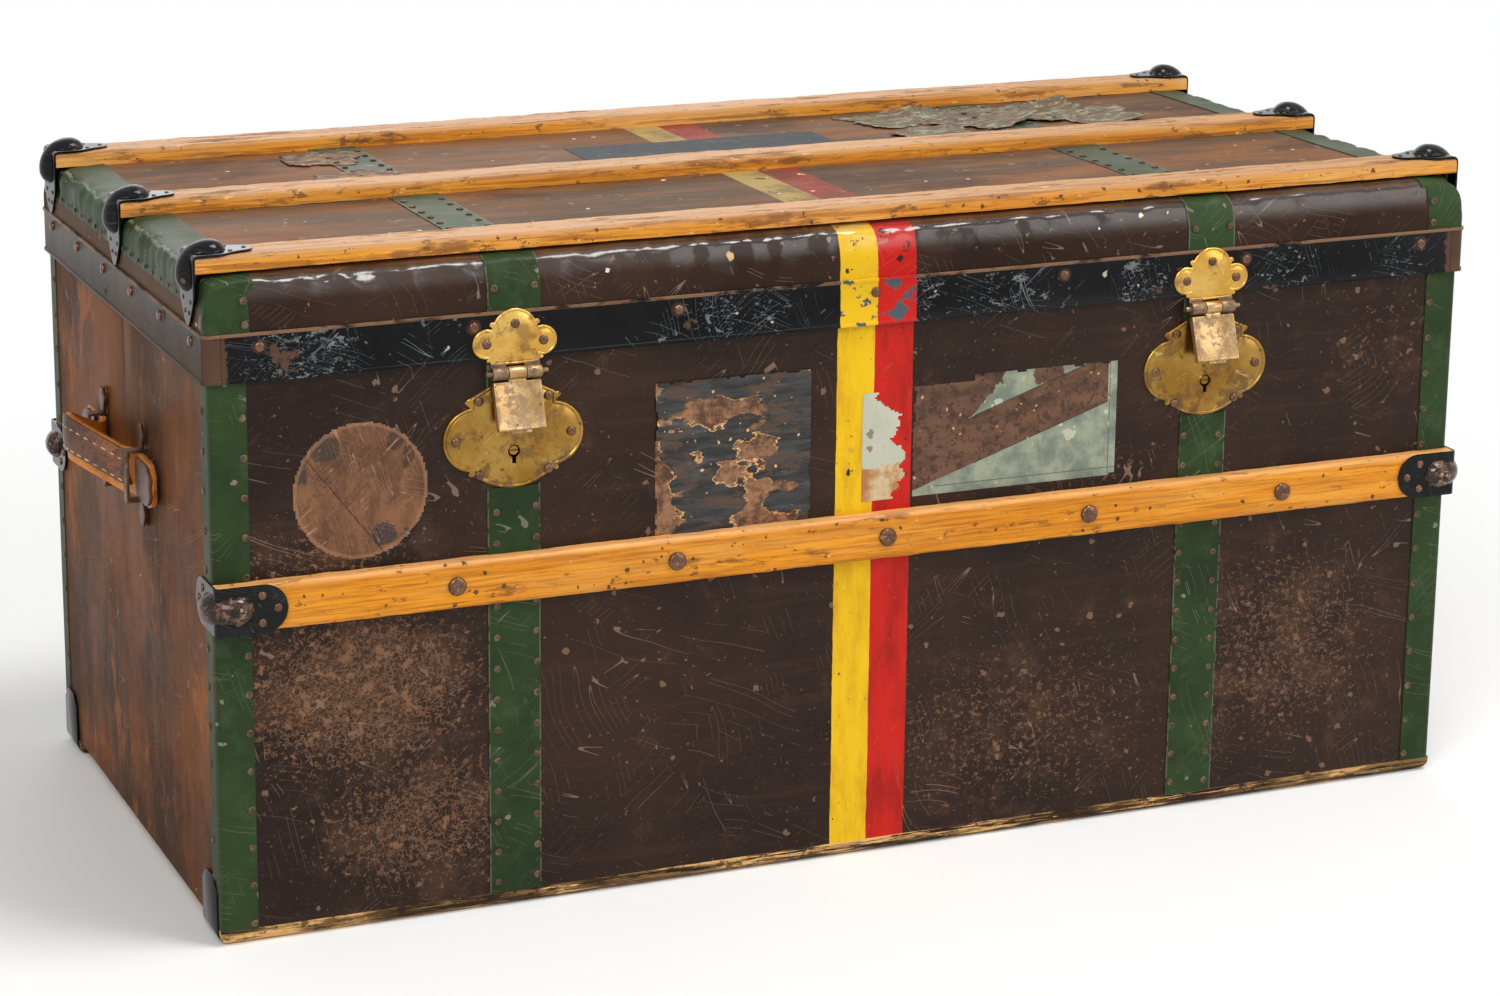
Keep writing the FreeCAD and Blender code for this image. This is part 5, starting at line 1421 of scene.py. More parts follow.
def makeClamp(name, tongue, leg, heads, headPiece):   # the slat's end at x = 0, its face at z = 0
    look = clampBuild
    bend, thick = look["bend"], look["thickness"]
    arc = bend * math.pi / 2
    plate = addGrid(name, 80, 14)
    total = tongue[-1][0] * mm + leg[-1][0] * mm - 2 * bend + arc
    for vertex in plate.data.vertices:
        s = (vertex.co[0] + 0.5) * total - (leg[-1][0] * mm - bend)
        across = vertex.co[1] * 2
        if s < 0:
            half = widthAt(leg, (bend - s) / mm)
            vertex.co = (0, across * half, -bend + s)
        elif s > arc:
            half = widthAt(tongue, (bend + s - arc) / mm)
            vertex.co = (bend + s - arc, across * half, 0)
        else:
            half, a = widthAt(tongue, 0), math.pi - s / bend
            vertex.co = (bend + bend * math.cos(a), across * half, -bend + bend * math.sin(a))
    useModifier(plate, "SOLIDIFY", thickness=thick, offset=1)
    tidyNormals(plate)
    softenEdges(plate, 0.0005, 2, 50)
    # the ball that is drawn round the corner
    ball = addBall(name + "Ball", (1, 1, 1), 28, 30)
    radius, around = look["domeRadius"], look["domeBend"]
    high = thick + look["domeRise"] - radius
    reach = around - high
    cap = 0.34 * math.pi
    for vertex in ball.data.vertices:
        level = math.acos(max(-1.0, min(1.0, vertex.co[2])))
        flat = math.hypot(vertex.co[0], vertex.co[1])
        up, across = (vertex.co[0] / flat, vertex.co[1] / flat) if flat > 1e-6 else (0.0, 0.0)
        up = max(up, -0.3)
        if level < cap or level > math.pi - cap:
            slope = (1 - min(level, math.pi - level) / cap) * math.pi / 2
            ring, far = radius * math.cos(slope), radius * math.sin(slope)
            if level < cap:
                vertex.co = (reach + far, across * ring, high + up * ring)
            else:
                vertex.co = (-high - up * ring, across * ring, -reach - far)
        else:
            a = math.pi / 2 * (1 + (level - cap) / (math.pi - 2 * cap))
            swell = 1 + 0.05 * math.sin((level - cap) / (math.pi - 2 * cap) * math.pi)
            vertex.co = (reach + (around + up * radius * swell) * math.cos(a), across * radius,
                         -reach + (around + up * radius * swell) * math.sin(a))
    tidyNormals(ball)
    smooth(plate, 35)
    smooth(ball, 60)
    parts = [plate, ball]
    for where, x, y in heads:
        if where == "face":
            place = moved(x * mm, y * mm, thick) @ facing("top")
        else:
            place = moved(-thick, y * mm, -x * mm) @ facing("left")
        parts.append(copied(headPiece, place))
    return parts


def placeClamps(name, parts, matrices, body, slotName, node, finishOf):
    made = {}
    for part, finish in zip(parts, finishOf):
        for matrix in matrices:
            made.setdefault(finish, []).append(copied(part, matrix))
    for part in parts:
        bpy.data.objects.remove(part)
    for number, (finish, group) in enumerate(made.items()):
        if number == 0:
            settle(joined(name, group), body, slotName, node, finish=finish)
        else:
            settle(joined(name + "Nails", group), body, "rivets", finish=finish)


lidHeads = [("face", 29.5, 8.5), ("face", 29.5, -8.5), ("face", 42, 0), ("end", 34, 10), ("end", 34, -10),
            ("end", 43, 5.5), ("end", 43, -5.5)]
lidClamp = makeClamp("lidClamp", pointedTongue, pointedLeg, lidHeads, tackHead)
places = [moved(-0.534, y, 0.527) for y in (-0.218, 0, 0.218)]
placeClamps("lidClamps", lidClamp, places + [flipX @ p for p in places], "lid", "black_iron",
            "lid_slat_clamps", ["black_iron", "black_iron"] + ["pitNails"] * 7)
sideHeads = [("face", 34, 10.5), ("face", 34, -10.5), ("face", 46, 0), ("end", 34, 10.5),
             ("end", 34, -10.5), ("end", 45, 0)]
sideClamp = makeClamp("sideClamp", roundEnd(54, 18.5), roundEnd(52, 18.5), sideHeads, clampHead)
side = moved(-0.531, -0.262, 0.2665) @ turned(90, "X")
places = [side, flipX @ side, flipY @ side, flipX @ flipY @ side]
placeClamps("sideClamps", sideClamp, places, "base", "black_iron", "side_slat_clamps",
            ["black_iron", "wornEnamel"] + ["rivets"] * 6)
print("clamps ready")


# locks
lockBuild = {
    "x": 0.296, "z": 0.375, "back": -0.2500, "keyZ": -0.011, "slotLow": 0.007, "slotHigh": 0.0239,
    # slopes: x, height above and below; discs and leaves: x, z, radius, mirrored to the other side
    "slope": ((0.018, 0.0405, 0.0400), (0.0340, 0.0325, 0.0400)), "bowl": (0.008, 0.0475),
    "discs": ((0.0310, 0.0, 0.0250),), "leaves": ((0.0350, 0.0288, 0.0034), (0.0338, -0.0266, 0.0024)),
    "rivetY": -0.2517, "rivets": ((-0.0275, 0.4045), (0.0275, 0.4045), (-0.046, 0.375), (0.046, 0.375),
                                  (-0.0275, 0.3475), (0.0275, 0.3475)),
}
# distance in from the outline, and height above the wood behind
lockRim = ((0, 0), (0, 0.0008), (0.0002, 0.0014), (0.0006, 0.0019), (0.0012, 0.0022), (0.0021, 0.0022),
           (0.0025, 0.0018), (0.0029, 0.0016), (0.0033, 0.0018), (0.0037, 0.0021))
haspRim = ((0, 0), (0, 0.0006), (0.0002, 0.0011), (0.0005, 0.0014), (0.0010, 0.0016), (0.0017, 0.0016),
           (0.0020, 0.0013), (0.0024, 0.0012), (0.0028, 0.0013), (0.0031, 0.0015))
haspPlateBuild = {
    "x": 0.296, "z": 0.448, "back": -0.2543, "slope": ((0.0195, 0.008, 0.0165), (0.0195, 0.008, 0.0165)),
    "discs": ((0.0, 0.008, 0.0185), (0.0220, 0.0005, 0.0115)),
    "leaves": ((0.0178, 0.0150, 0.0022), (0.0205, -0.0118, 0.0020)),
}


def reachOf(look, angle, shrink):   # how far a plate's outline lies from its middle in one direction
    c, s = abs(math.cos(angle)), math.sin(angle)
    (x1, up1, down1), (x2, up2, down2) = look["slope"]
    high1, high2 = (up1, up2) if s >= 0 else (down1, down2)
    far = (x2 - shrink) / max(c, 1e-6)
    far = min(far, (high1 - shrink) / max(abs(s), 1e-6))
    if x2 > x1:
        fall = (high1 - high2) / (x2 - x1)
        far = min(far, (high1 + fall * x1 - shrink * 1.08) / max(abs(s) + fall * c, 1e-6))
    if "bowl" in look and s < 0:
        up, radius = look["bowl"]
        far = min(far, up * s + math.sqrt((radius - shrink) ** 2 - up * up * (1 - s * s)))
    for x, z, radius in look["discs"] + look["leaves"]:
        radius = radius - shrink
        if radius <= 0:
            continue
        for side in (-1, 1):
            along = side * x * math.cos(angle) + z * s
            off = radius ** 2 - (x * x + z * z - along ** 2)
            if off > 0 and along + math.sqrt(off) > 0 and along - math.sqrt(off) < far + 0.0004:
                far = max(far, along + math.sqrt(off))
    return far


def makePlate(name, look, rim, sides=400):   # a pressed plate with a rolled edge and a groove inside it
    plate = addRod(name, (0, look["back"] - 0.005, 0), 1.0, 0.01, sides)
    insetFaces(plate, facesFront, [(0.05, 0)] * (len(rim) - 1))
    for vertex in plate.data.vertices:
        distance = math.hypot(vertex.co[0], vertex.co[2])
        step = 0 if vertex.co[1] > look["back"] - 0.005 else round((1.0 - distance) / 0.05)
        inward, out = rim[step]
        angle = math.atan2(vertex.co[2], vertex.co[0])
        far = reachOf(look, angle, inward)
        vertex.co = (far * math.cos(angle), look["back"] - out, look["z"] + far * math.sin(angle))
    tidyNormals(plate, 0.000001)
    return plate


def makeLockPlate():
    look = lockBuild
    z, face = look["z"], look["back"] - lockRim[-1][1]
    keyZ = z + look["keyZ"]
    plate = makePlate("lockPlate", look, lockRim)
    cutBy(plate, addRod("key", (0, face, keyZ), 0.0048, 0.02, 24))
    cutBy(plate, addBlock("slot", (-0.0016, -0.26, keyZ - 0.0095), (0.0016, -0.24, keyZ)))
    cutBy(plate, addBlock("slot", (-0.0024, -0.26, z + look["slotLow"]),
                          (0.0024, -0.24, z + look["slotHigh"])))
    # edge ring of the keyhole, and the slotted drum inside it
    ring = addRod("keyRing", (0, face, keyZ), 0.0060, 0.0010, 28)
    cutBy(ring, addRod("key", (0, face, keyZ), 0.0049, 0.02, 24))
    cutBy(ring, addBlock("slot", (-0.0017, -0.26, keyZ - 0.0095), (0.0017, -0.24, keyZ)))
    softenEdges(ring, 0.0003, 1, 60)
    drum = addRod("keyDrum", (0, -0.25045, keyZ + 0.0004), 0.0036, 0.0019, 24)
    cutBy(drum, addBlock("slit", (-0.005, -0.26, keyZ + 0.0001), (0.005, -0.2499, keyZ + 0.0010)))
    softenEdges(drum, 0.0002, 1, 60)
    plate = joined("lockPlate", [plate, ring, drum])
    smooth(plate, 40)
    return plate


def bothSides(name, part, x, finish, body, slotName, *nodes):
    piece = joined(name, [copied(part, moved(side * x, 0, 0)) for side in (-1, 1)])
    bpy.data.objects.remove(part)
    settle(piece, body, slotName, *nodes, finish=finish)


def lockHeads(look):   # the rivets or nails of both locks
    y = look["rivetY"]
    return [(side * look["x"] + x, y, z, "front") for side in (-1, 1) for x, z in look["rivets"]]


bothSides("lockPlates", makeLockPlate(), lockBuild["x"], "lock_brass", "base", "lock_brass", "lock_plates")
scatter("lockRivets", plateHead, lockHeads(lockBuild), "rivets", "base", "rivets", "lock_rivets")

haspBuild = {"x": 0.296, "axis": (-0.258, 0.426), "barrel": 0.005, "barrelHalf": 0.0195,
             "middle": 0.0068, "gap": 0.0005, "half": 0.019, "drop": 0.043, "shoulder": 0.0062,
             "back": -0.2530, "front": -0.2584, "skin": 0.002, "swing": -19, "stapleZ": 0.392,
             "rivetY": -0.2555, "rivets": ((0, 0.463), (-0.0225, 0.4485), (0.0225, 0.4485))}


def makeHaspPlate():
    plate = makePlate("haspPlate", haspPlateBuild, haspRim)
    smooth(plate, 40)
    return plate


def makeKnuckles():
    y, z = haspBuild["axis"]
    parts = []
    for side in (-1, 1):
        a, b = haspBuild["middle"] + haspBuild["gap"], haspBuild["barrelHalf"]
        rod = addRod("knuckle", (side * (a + b) / 2, y, z), haspBuild["barrel"], b - a, 28, alongX)
        softenEdges(rod, 0.0004, 2, 50)
        leaf = addBlock("root", (min(side * a, side * b), -0.2563, z),
                        (max(side * a, side * b), -0.2543, 0.4335))
        softenEdges(leaf, 0.0003, 1, 50)
        parts += [rod, leaf]
    piece = joined("knuckles", parts)
    smooth(piece, 40)
    return piece


def makePin():
    y, z = haspBuild["axis"]
    pin = addRod("pin", (0.0005, y, z), 0.0019, 0.049, 20, alongX)
    softenEdges(pin, 0.0005, 2, 50)
    smooth(pin, 40)
    return pin


def makeHasp(x):
    look = haspBuild
    y, z = look["axis"]
    bottom, top = z - look["drop"], z - look["shoulder"]
    shell = addBlock("hasp", (x - look["half"], look["front"], bottom),
                     (x + look["half"], look["back"], top))
    insetFaces(shell, lambda centre, normal: normal[1] > 0.9,
               [(look["skin"], 0), (0.00001, -(look["back"] - look["front"] - look["skin"]))])
    insetFaces(shell, lambda centre, normal: normal[1] < -0.9 and centre[1] < look["front"] + 0.0001,
               [(0.0014, 0), (0.0005, -0.0004)])
    softenEdges(shell, 0.0008, 3, 50)
    tab = addBlock("tab", (x - 0.008, look["back"] - 0.0026, bottom - 0.0022),
                   (x + 0.008, look["back"] - 0.0002, bottom + 0.0012))
    softenEdges(tab, 0.0005, 2, 50)
    knuckle = addRod("knuckle", (x, y, z), look["barrel"], 2 * look["middle"], 28, alongX)
    softenEdges(knuckle, 0.0004, 2, 50)
    web = addBlock("web", (x - look["middle"], look["front"], top - 0.002),
                   (x + look["middle"], look["front"] + look["skin"], z - 0.0015))
    staple = addBlock("staple", (x - 0.0016, look["front"] + 0.001, look["stapleZ"] - 0.0059),
                      (x + 0.0016, -0.24355, look["stapleZ"] + 0.0059))
    cutBy(staple, addBlock("eye", (x - 0.005, -0.2497, look["stapleZ"] - 0.0036),
                           (x + 0.005, -0.2447, look["stapleZ"] + 0.0036)))
    softenEdges(staple, 0.0004, 1, 50)
    hasp = joined("hasp", [shell, tab, knuckle, web, staple])
    hasp.data.transform(turned(look["swing"], "X", (x, y, z)))
    smooth(hasp, 35)
    return hasp


bothSides("haspPlates", makeHaspPlate(), haspBuild["x"], "haspPlateBrass", "lid", "lock_brass",
          "hasp_plates")
bothSides("haspKnuckles", makeKnuckles(), haspBuild["x"], "knuckle", "lid", "lock_steel")
bothSides("haspPins", makePin(), haspBuild["x"], "knuckle", "lid", "lock_steel", "hasp_pins")
for side, word in ((-1, "left"), (1, "right")):
    hasp = makeHasp(side * haspBuild["x"])
    hasp.name = hasp.data.name = word + "Hasp"
    settle(hasp, word + "_hasp", "lock_brass", word + "_hasp", finish="haspBrass")
scatter("haspPlateNails", plateHead, lockHeads(haspBuild), "rivets", "lid", "rivets", "hasp_plate_nails")
print("locks ready")


def pieceName(node):   # front_valance becomes frontValance
    first, *others = node.split("_")
    return first + "".join(word.capitalize() for word in others)


dressedCopy("baseHingeLeaves", "hinge_base_leaves", 0.0004, "base", "hinge_steel")
dressedCopy("lidHingeLeaves", "hinge_lid_leaves", 0.0004, "lid", "hinge_steel")
for width, body, slotName, nodes in (
        (0.0007, "base", "bridge_iron", ("left_handle_bridges", "right_handle_bridges")),
        (0.0005, "base", "black_iron", ("bottom_clamps",)),
        (0.0005, "lid", "valance", ("front_valance", "back_valance", "left_valance", "right_valance")),
        (0.0006, "tray", "tray_wood", ("tray_bottom",)),
        (0.0008, "tray", "tray_wood",
         ("tray_front_side", "tray_back_side", "tray_left_end", "tray_right_end")),
        (0.001, "base", "tray_wood", ("tray_runners",))):
    for node in nodes:
        dressedCopy(pieceName(node), node, width, body, slotName)
dressedCopy("trayTabs", "tray_lift_tabs", 0.0008, "tray", "tab_leather")
spots = [side * 0.385 + x for side in (-1, 1) for x in (-0.026, -0.0087, 0.0087, 0.026)]
for name, y, z, body in (("hingeScrews", 0.2516, 0.3935, "base"),
                         ("lidHingeScrews", 0.2569, 0.4570, "lid")):
    scatter(name, clampHead, [(x, y, z, "back") for x in spots], "lock_steel", body, "hinge_steel")

# the pointed leaves that nail each handle bridge to the board
bridgeBuild = {
    "y": 0.061, "middle": 0.320, "root": 0.0215, "tip": 0.0408, "back": 0.5300, "thickness": 0.0030,
    "halves": ((0.0, 0.0046), (0.18, 0.0050), (0.42, 0.0072), (0.62, 0.0072), (0.84, 0.0045),
               (1.0, 0.0012)),   # how far up the leaf, half its width there
}


def makeLeaf():    # points up from z = 0 and stands on x = 0 towards -X
    look = bridgeBuild
    leaf = addGrid("leaf", 12, 20)
    for vertex in leaf.data.vertices:
        share = vertex.co[1] + 0.5
        pairs = zip(look["halves"], look["halves"][1:])
        (s0, h0), (s1, h1) = next(pair for pair in pairs if share <= pair[1][0] + 1e-6)
        half = h0 + (h1 - h0) * (share - s0) / (s1 - s0)
        across = vertex.co[0] * 2
        vertex.co = (-look["thickness"] + 0.0005 * across ** 4, across * half,
                     share * (look["tip"] - look["root"]))
    useModifier(leaf, "SOLIDIFY", thickness=look["thickness"] * 0.8, offset=-1)
    tidyNormals(leaf)
    softenEdges(leaf, 0.0003, 2, 50)
    smooth(leaf, 40)
    return leaf


leaf = makeLeaf()
leaves, leafNails = [], []
for side in (-1, 1):
    for y in (-bridgeBuild["y"], bridgeBuild["y"]):
        for up in (-1, 1):
            place = moved(side * bridgeBuild["back"], y, bridgeBuild["middle"] + up * bridgeBuild["root"])
            place = place @ Matrix.Rotation(0 if side < 0 else math.pi, 4, "Z")
            place = place @ Matrix.Rotation(0 if up > 0 else math.pi, 4, "X")
            leaves.append(copied(leaf, place))
            x, z = side * (bridgeBuild["back"] + 0.0028), bridgeBuild["middle"] + up * 0.0318
            leafNails.append((x, y, z, "left" if side < 0 else "right"))
bpy.data.objects.remove(leaf)
settle(joined("bridgeLeaves", leaves), "base", "bridge_iron")
scatter("bridgeNails", clampHead, leafNails, "rivets", "base", "rivets")
for head in (slatHead, valanceHead, plateHead, clampHead, tackHead, ringNail):
    bpy.data.objects.remove(head)
print("fittings ready")


# handles: an orange under strap, a dark stitched top strap and dark ends
handleBuild = {
    "height": 0.320, "base": 0.530, "rise": 0.0075, "bow": 0.040, "halfSpan": 0.054, "endAt": 0.109,
    "width": 0.0359, "lift": 0.020, "under": (-0.0034, 0.0003), "top": (0.0003, 0.0034), "topWidth": 0.0285,
    "topShift": 0.0032, "topEnd": 0.049, "stitch": (0.0023, 0.0007, 0.0007), "stitchGap": 0.0048,
}


def strapPoint(y):   # distance out from the end board, upward lift and slope at a place along the strap
    look = handleBuild
    share = min(1.0, abs(y) / look["halfSpan"])
    bow = look["bow"] * (1 + math.cos(math.pi * share)) / 2
    slope = 0.0
    if share < 1:
        slope = -math.copysign(1, y) * look["bow"] / 2 * math.sin(math.pi * share)
        slope = slope * math.pi / look["halfSpan"]
    out = look["rise"] + bow
    lift = look["lift"] * max(0.0, out - 0.014) / (look["rise"] + look["bow"] - 0.014)
    return out, lift, slope


def onStrap(y, w, layer):   # w across the strap, layer outwards from its middle
    out, lift, slope = strapPoint(y)
    length = math.hypot(1, slope)
    return Vector((-handleBuild["base"] - out - layer / length, y - layer * slope / length,
                   handleBuild["height"] + lift + w))


def makeStrap(name, y0, y1, width, shift, layers, crown, roundEnds=False, notch=0.0, cuts=72):
    strap = addGrid(name, cuts, 10)
    low, high = layers
    for vertex in strap.data.vertices:
        u, across = vertex.co[0] + 0.5, vertex.co[1] * 2
        y = y0 + (y1 - y0) * u
        half = width / 2
        if roundEnds:
            far = max(0.0, abs(y) - (max(abs(y0), abs(y1)) - half)) / half
            half *= math.sqrt(max(0.0, 1 - far ** 2)) + 0.02
        if notch:    # both ends are cut to a V
            reach = (y1 - y0) / 2
            taper = 1 - notch / reach * (1 - abs(across)) * abs(2 * u - 1) ** 4
            y = (y0 + y1) / 2 + (y - (y0 + y1) / 2) * taper
        waver = noiseAt(y * 30, across * 0.5, 4) * 0.0002
        vertex.co = onStrap(y, across * half + shift + waver, high + crown * (1 - across ** 2) - crown)
    if strap.data.polygons[0].normal[0] > 0:
        strap.data.flip_normals()
    useModifier(strap, "SOLIDIFY", thickness=high - low, offset=-1)
    tidyNormals(strap)
    softenEdges(strap, 0.0006, 2, 45)
    smooth(strap, 50)
    return strap


def stitchAt(seed, y, w, layer, lengthwise=True):
    here, ahead = onStrap(y, w, layer), onStrap(y + 0.0005, w, layer)
    along = (ahead - here).normalized() if lengthwise else Vector((0, 0, 1))
    return copied(seed, moved(*here) @ along.to_track_quat("X", "Z").to_matrix().to_4x4())


def makeHandle():
    look = handleBuild
    under = makeStrap("underStrap", -look["endAt"], look["endAt"], look["width"], 0, look["under"],
                      0.0006, True, cuts=96)
    top = makeStrap("topStrap", -look["topEnd"], look["topEnd"], look["topWidth"], look["topShift"],
                    look["top"], 0.0010, False, 0.006)
    ends = []
    for side in (-1, 1):
        y0, y1 = sorted((side * 0.066, side * (look["endAt"] - 0.001)))
        ends.append(makeStrap("endPad", y0, y1, look["width"] - 0.004, 0, look["top"], 0.0006, False,
                              cuts=30))
    for pad in ends:   # outer ends rounded
        for vertex in pad.data.vertices:
            far = abs(vertex.co[1]) - (look["endAt"] - 0.017)
            if far > 0:
                squeeze = math.sqrt(max(0.0, 1 - (far / 0.0172) ** 2)) + 0.02
                vertex.co[2] = look["height"] + (vertex.co[2] - look["height"]) * squeeze
    seed = addBall("thread", look["stitch"], 8, 6)
    smooth(seed, 60)
    threads = []
    half = look["topWidth"] / 2
    layer = look["top"][1] - 0.0003
    steps = int(0.088 / look["stitchGap"])
    for step in range(steps + 1):
        y = -0.044 + step * 0.088 / steps
        threads.append(stitchAt(seed, y, look["topShift"] - half + 0.0028, layer - 0.0003))
        threads.append(stitchAt(seed, y, look["topShift"] + half * 0.42, layer))
    for side in (-1, 1):
        for step in range(5):
            w = look["topShift"] - half + 0.006 + step * 0.0042
            threads.append(stitchAt(seed, side * (0.0455 - abs(step - 2) * 0.0005), w, layer, False))
    bpy.data.objects.remove(seed)
    stitching = joined("stitching", threads)
    return under, joined("topStrap", [top] + ends), stitching


under, top, stitching = makeHandle()
for word, matrix in (("left", Matrix.Identity(4)), ("right", flipX)):
    for part, name, finish in ((under, "UnderStrap", "underLeather"), (top, "TopStrap", "handle_leather"),
                               (stitching, "Stitches", "thread")):
        piece = copied(part, matrix)
        piece.name = piece.data.name = word + "Handle" + name
        nodes = [word + "_handle"] if part is under else []
        settle(piece, word + "_handle", "handle_leather", *nodes, finish=finish)
for part in (under, top, stitching):
    bpy.data.objects.remove(part)
print("handles ready")


# worn papers pasted on the trunk: bare sheets, torn and rubbed
def cloudAt(x, z, across, up, seed):
    return noise.fractal(Vector((x * across, z * up, seed)), 1.0, 2.1, 5)


paperBuild = {
    "charred": {"low": (-0.181, 0.267), "high": (-0.052, 0.405), "step": 0.0014, "thick": 0.00025},
    "pale": {"low": (-0.0072, 0.2935), "high": (0.2165, 0.3875), "step": 0.0017, "thick": 0.0002},
    "round": {"middle": (-0.416, 0.345), "radius": 0.0525, "step": 0.0016, "thick": 0.0002},
    "blue": {"low": (-0.113, 0.0460), "high": (0.1175, 0.127), "step": 0.004, "thick": 0.0003},
}


def makeSheet(name, low, high, step, keep, rise, thick, onTop=False, layers=None):
    # x and a second axis, height on the front or depth on the lid, run over the sheet
    across, along = [max(2, round((b - a) / step)) for a, b in zip(low, high)]
    sheet = addGrid(name, across, along)
    for vertex in sheet.data.vertices:
        vertex.co = (low[0] + (vertex.co[0] + 0.5) * (high[0] - low[0]),
                     low[1] + (vertex.co[1] + 0.5) * (high[1] - low[1]), 0)
    dropFaces(sheet, lambda centre, normal: not keep(centre[0], centre[1]))
    if layers:
        shade = sheet.data.attributes.new("layer", "FLOAT", "POINT")
        shade.data.foreach_set("value", [layers(v.co[0], v.co[1]) for v in sheet.data.vertices])
    for vertex in sheet.data.vertices:
        a, b = vertex.co[0], vertex.co[1]
        out = rise(a, b)
        if onTop:
            vertex.co = (a, b, 0.515 + dentAt((a, b, 0.515)) + out)
        else:
            vertex.co = (a, -0.2500 - out, b)
    useModifier(sheet, "SOLIDIFY", thickness=thick, offset=-1)
    tidyNormals(sheet, 0.000005)
    smooth(sheet, 55)
    return sheet


def easeIn(value, low, high):
    share = min(1.0, max(0.0, (value - low) / (high - low)))
    return share * share * (3 - 2 * share)


def charredLayer(x, z):    # 0 dark crust, 1 brown paper beneath
    spots = cloudAt(x, z, 26, 46, 2.0)
    low = paperBuild["charred"]["low"]
    left = max(0.0, 1 - (x - low[0]) / 0.016) * (0.9 if z < 0.36 else 0.3)
    bottom = max(0.0, 1 - (z - low[1]) / 0.02) * max(0.0, 1 - (x - low[0]) / 0.03)
    middle = 0.5 * math.exp(-((x + 0.112) / 0.03) ** 2 - ((z - 0.335) / 0.02) ** 2)
    middle += 0.6 * math.exp(-((x + 0.140) / 0.02) ** 2 - ((z - 0.374) / 0.012) ** 2)
    middle += 0.7 * math.exp(-((x + 0.072) / 0.014) ** 2 - ((z - 0.290) / 0.010) ** 2)
    return min(1.0, max(0.0, 0.26 + spots * 0.6 + left * 0.7 + bottom + middle * 0.62))


def charredRise(x, z):
    crust = 1 - easeIn(charredLayer(x, z), 0.42, 0.56)
    folds = abs(noiseAt(x * 16, z * 120, 7)) * 0.7 + abs(noiseAt(x * 40, z * 230, 3)) * 0.4
    lip = math.exp(-((charredLayer(x, z) - 0.44) / 0.05) ** 2)
    curl = 0.0016 * lip * max(0.0, noiseAt(x * 22, z * 30, 11) + 0.25)
    return 0.0002 + crust * (0.0007 + 0.0019 * folds) + curl


def charredKeep(x, z):
    low, high = paperBuild["charred"]["low"], paperBuild["charred"]["high"]
    edge = 0.0022 * abs(noiseAt(x * 70, z * 70, 5))
    return low[0] + edge < x < high[0] - edge * 0.8 and low[1] + edge * 0.6 < z < high[1] - edge


def paleKeep(x, z):
    ragged = noise.fractal(Vector((x * 10, z * 60, 1)), 1.0, 2.2, 5) * 0.014
    if x < 0.0355:
        drop = 0.006 if z > 0.36 else 0.0
        return x < 0.0165 + ragged + 0.010 * math.sin((z - 0.295) * 55) + drop and z < 0.3815
    tear = 0.0015 * abs(noiseAt(x * 80, z * 80, 9))
    top = 0.3870 - tear - (0.004 if x < 0.09 else 0.0)
    return x > 0.0365 + abs(ragged) * 0.2 and 0.2935 + tear < z < top


def paleRise(x, z):
    lumps = 0.0003 * max(0.0, cloudAt(x, z, 60, 60, 8.0))
    return 0.00018 + 0.0003 * abs(noiseAt(x * 30, z * 60, 4)) + lumps


def roundKeep(x, z):
    middle, radius = paperBuild["round"]["middle"], paperBuild["round"]["radius"]
    a, b = x - middle[0], z - middle[1]
    turn = math.atan2(b, a)
    return math.hypot(a, b) < radius - 0.0012 * abs(noiseAt(math.cos(turn) * 6, math.sin(turn) * 6, 2))


def roundRise(x, z):
    crease = math.exp(-(((x + 0.416) * 0.7 - (z - 0.345) * 0.72 + 0.006) / 0.0016) ** 2)
    return 0.0002 + 0.0005 * crease + 0.00035 * abs(noiseAt(x * 60, z * 60, 1))


def blueKeep(x, y):
    tear = 0.0012 * abs(noiseAt(x * 60, y * 60, 2))
    return -0.1125 + tear < x < 0.1170 - tear and 0.0465 + tear < y < 0.1265 - tear


def buildPaper(name, kind, keep, rise, finish, onTop=False, layers=None):
    look = paperBuild[kind]
    if "middle" in look:
        low = [c - look["radius"] - 0.001 for c in look["middle"]]
        high = [c + look["radius"] + 0.001 for c in look["middle"]]
    else:
        low, high = look["low"], look["high"]
    sheet = makeSheet(name, low, high, look["step"], keep, rise, look["thick"], onTop, layers)
    body, slotName = ("lid", "lid_covering") if onTop else ("base", "covering")
    settle(sheet, body, slotName, finish=finish)


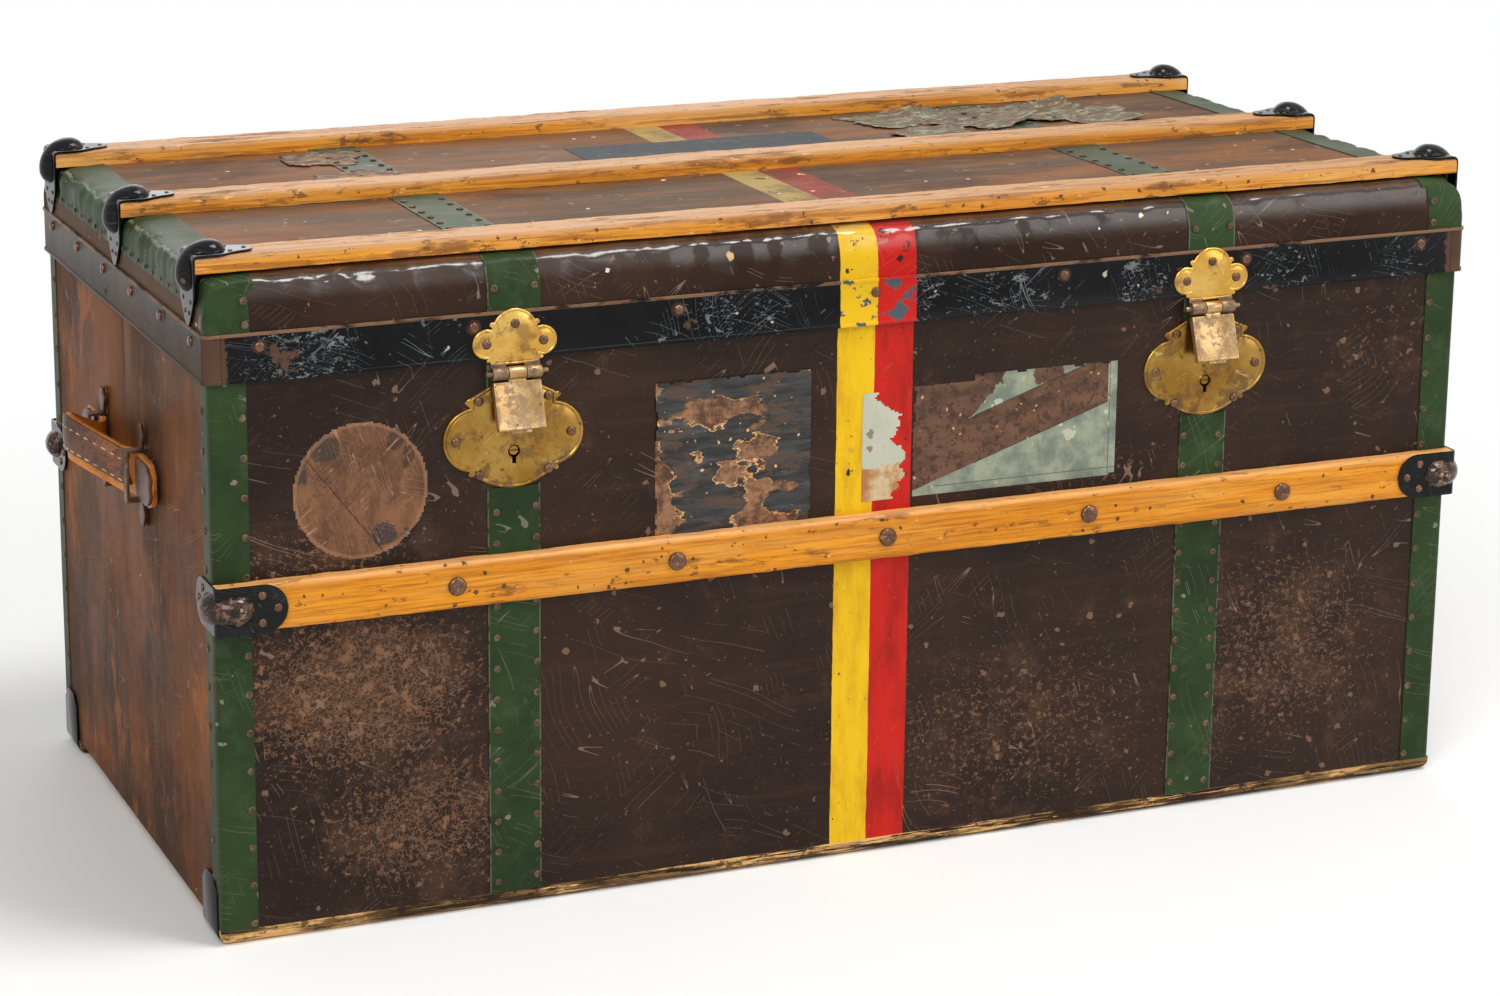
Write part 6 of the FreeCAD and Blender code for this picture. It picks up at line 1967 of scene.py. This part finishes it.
buildPaper("charredPaper", "charred", charredKeep, charredRise, "charredPaper", layers=charredLayer)
buildPaper("palePaper", "pale", paleKeep, paleRise, "palePaper")
buildPaper("roundPaper", "round", roundKeep, roundRise, "roundPaper")
buildPaper("bluePaper", "blue", blueKeep, lambda x, y: 0.0003, "bluePaper", onTop=True)

# loose torn paper in the back bay of the lid: two x, two y, lift of its far edge, lean, seed
tornBuild = {"step": 0.0042, "thick": 0.0004, "scraps": (
    (0.160, 0.262, 0.112, 0.190, 0.0075, 0.5, 1.0), (0.225, 0.330, 0.070, 0.190, 0.0070, -0.4, 2.0),
    (0.300, 0.392, 0.088, 0.172, 0.0080, 0.9, 3.0), (0.345, 0.432, 0.052, 0.150, 0.0055, -0.8, 4.0),
    (0.170, 0.252, 0.052, 0.104, 0.0035, 0.2, 5.0), (-0.356, -0.286, 0.120, 0.190, 0.0012, 0.3, 6.0),
    (-0.350, -0.270, 0.045, 0.092, 0.0010, 0.8, 7.0))}


def makeScrap(low, high, lift, lean, seed):
    middle = [(a + b) / 2 for a, b in zip(low, high)]
    half = [(b - a) / 2 for a, b in zip(low, high)]

    def keep(x, y):
        a, b = (x - middle[0]) / half[0], (y - middle[1]) / half[1]
        wild = 0.42 * cloudAt(x, y, 34, 34, seed)
        return max(abs(a), abs(b)) ** 2 * 0.55 + math.hypot(a, b) * 0.45 < 0.80 + wild

    def rise(x, y):
        a, b = (x - middle[0]) / half[0], (y - middle[1]) / half[1]
        along = a * math.cos(lean) + b * math.sin(lean)
        curl = max(0.0, along) ** 2.2 * lift + max(0.0, -along - 0.5) ** 2 * lift * 0.8
        crumple = abs(noiseAt(x * 45, y * 45, seed)) * min(1.0, lift / 0.004) * 0.0024
        return 0.0005 + seed * 0.00012 + curl + crumple

    return makeSheet("scrap", low, high, tornBuild["step"], keep, rise, tornBuild["thick"], True)


for name, group, finish in (("tornLidPaper", tornBuild["scraps"][:5], "tornPaper"),
                            ("rubbedLidPaper", tornBuild["scraps"][5:], "brownPaper")):
    scraps = [makeScrap((x0, y0), (x1, y1), lift, lean, seed) for x0, x1, y0, y1, lift, lean, seed in group]
    settle(joined(name, scraps), "lid", "lid_covering", finish=finish)
print("papers ready")
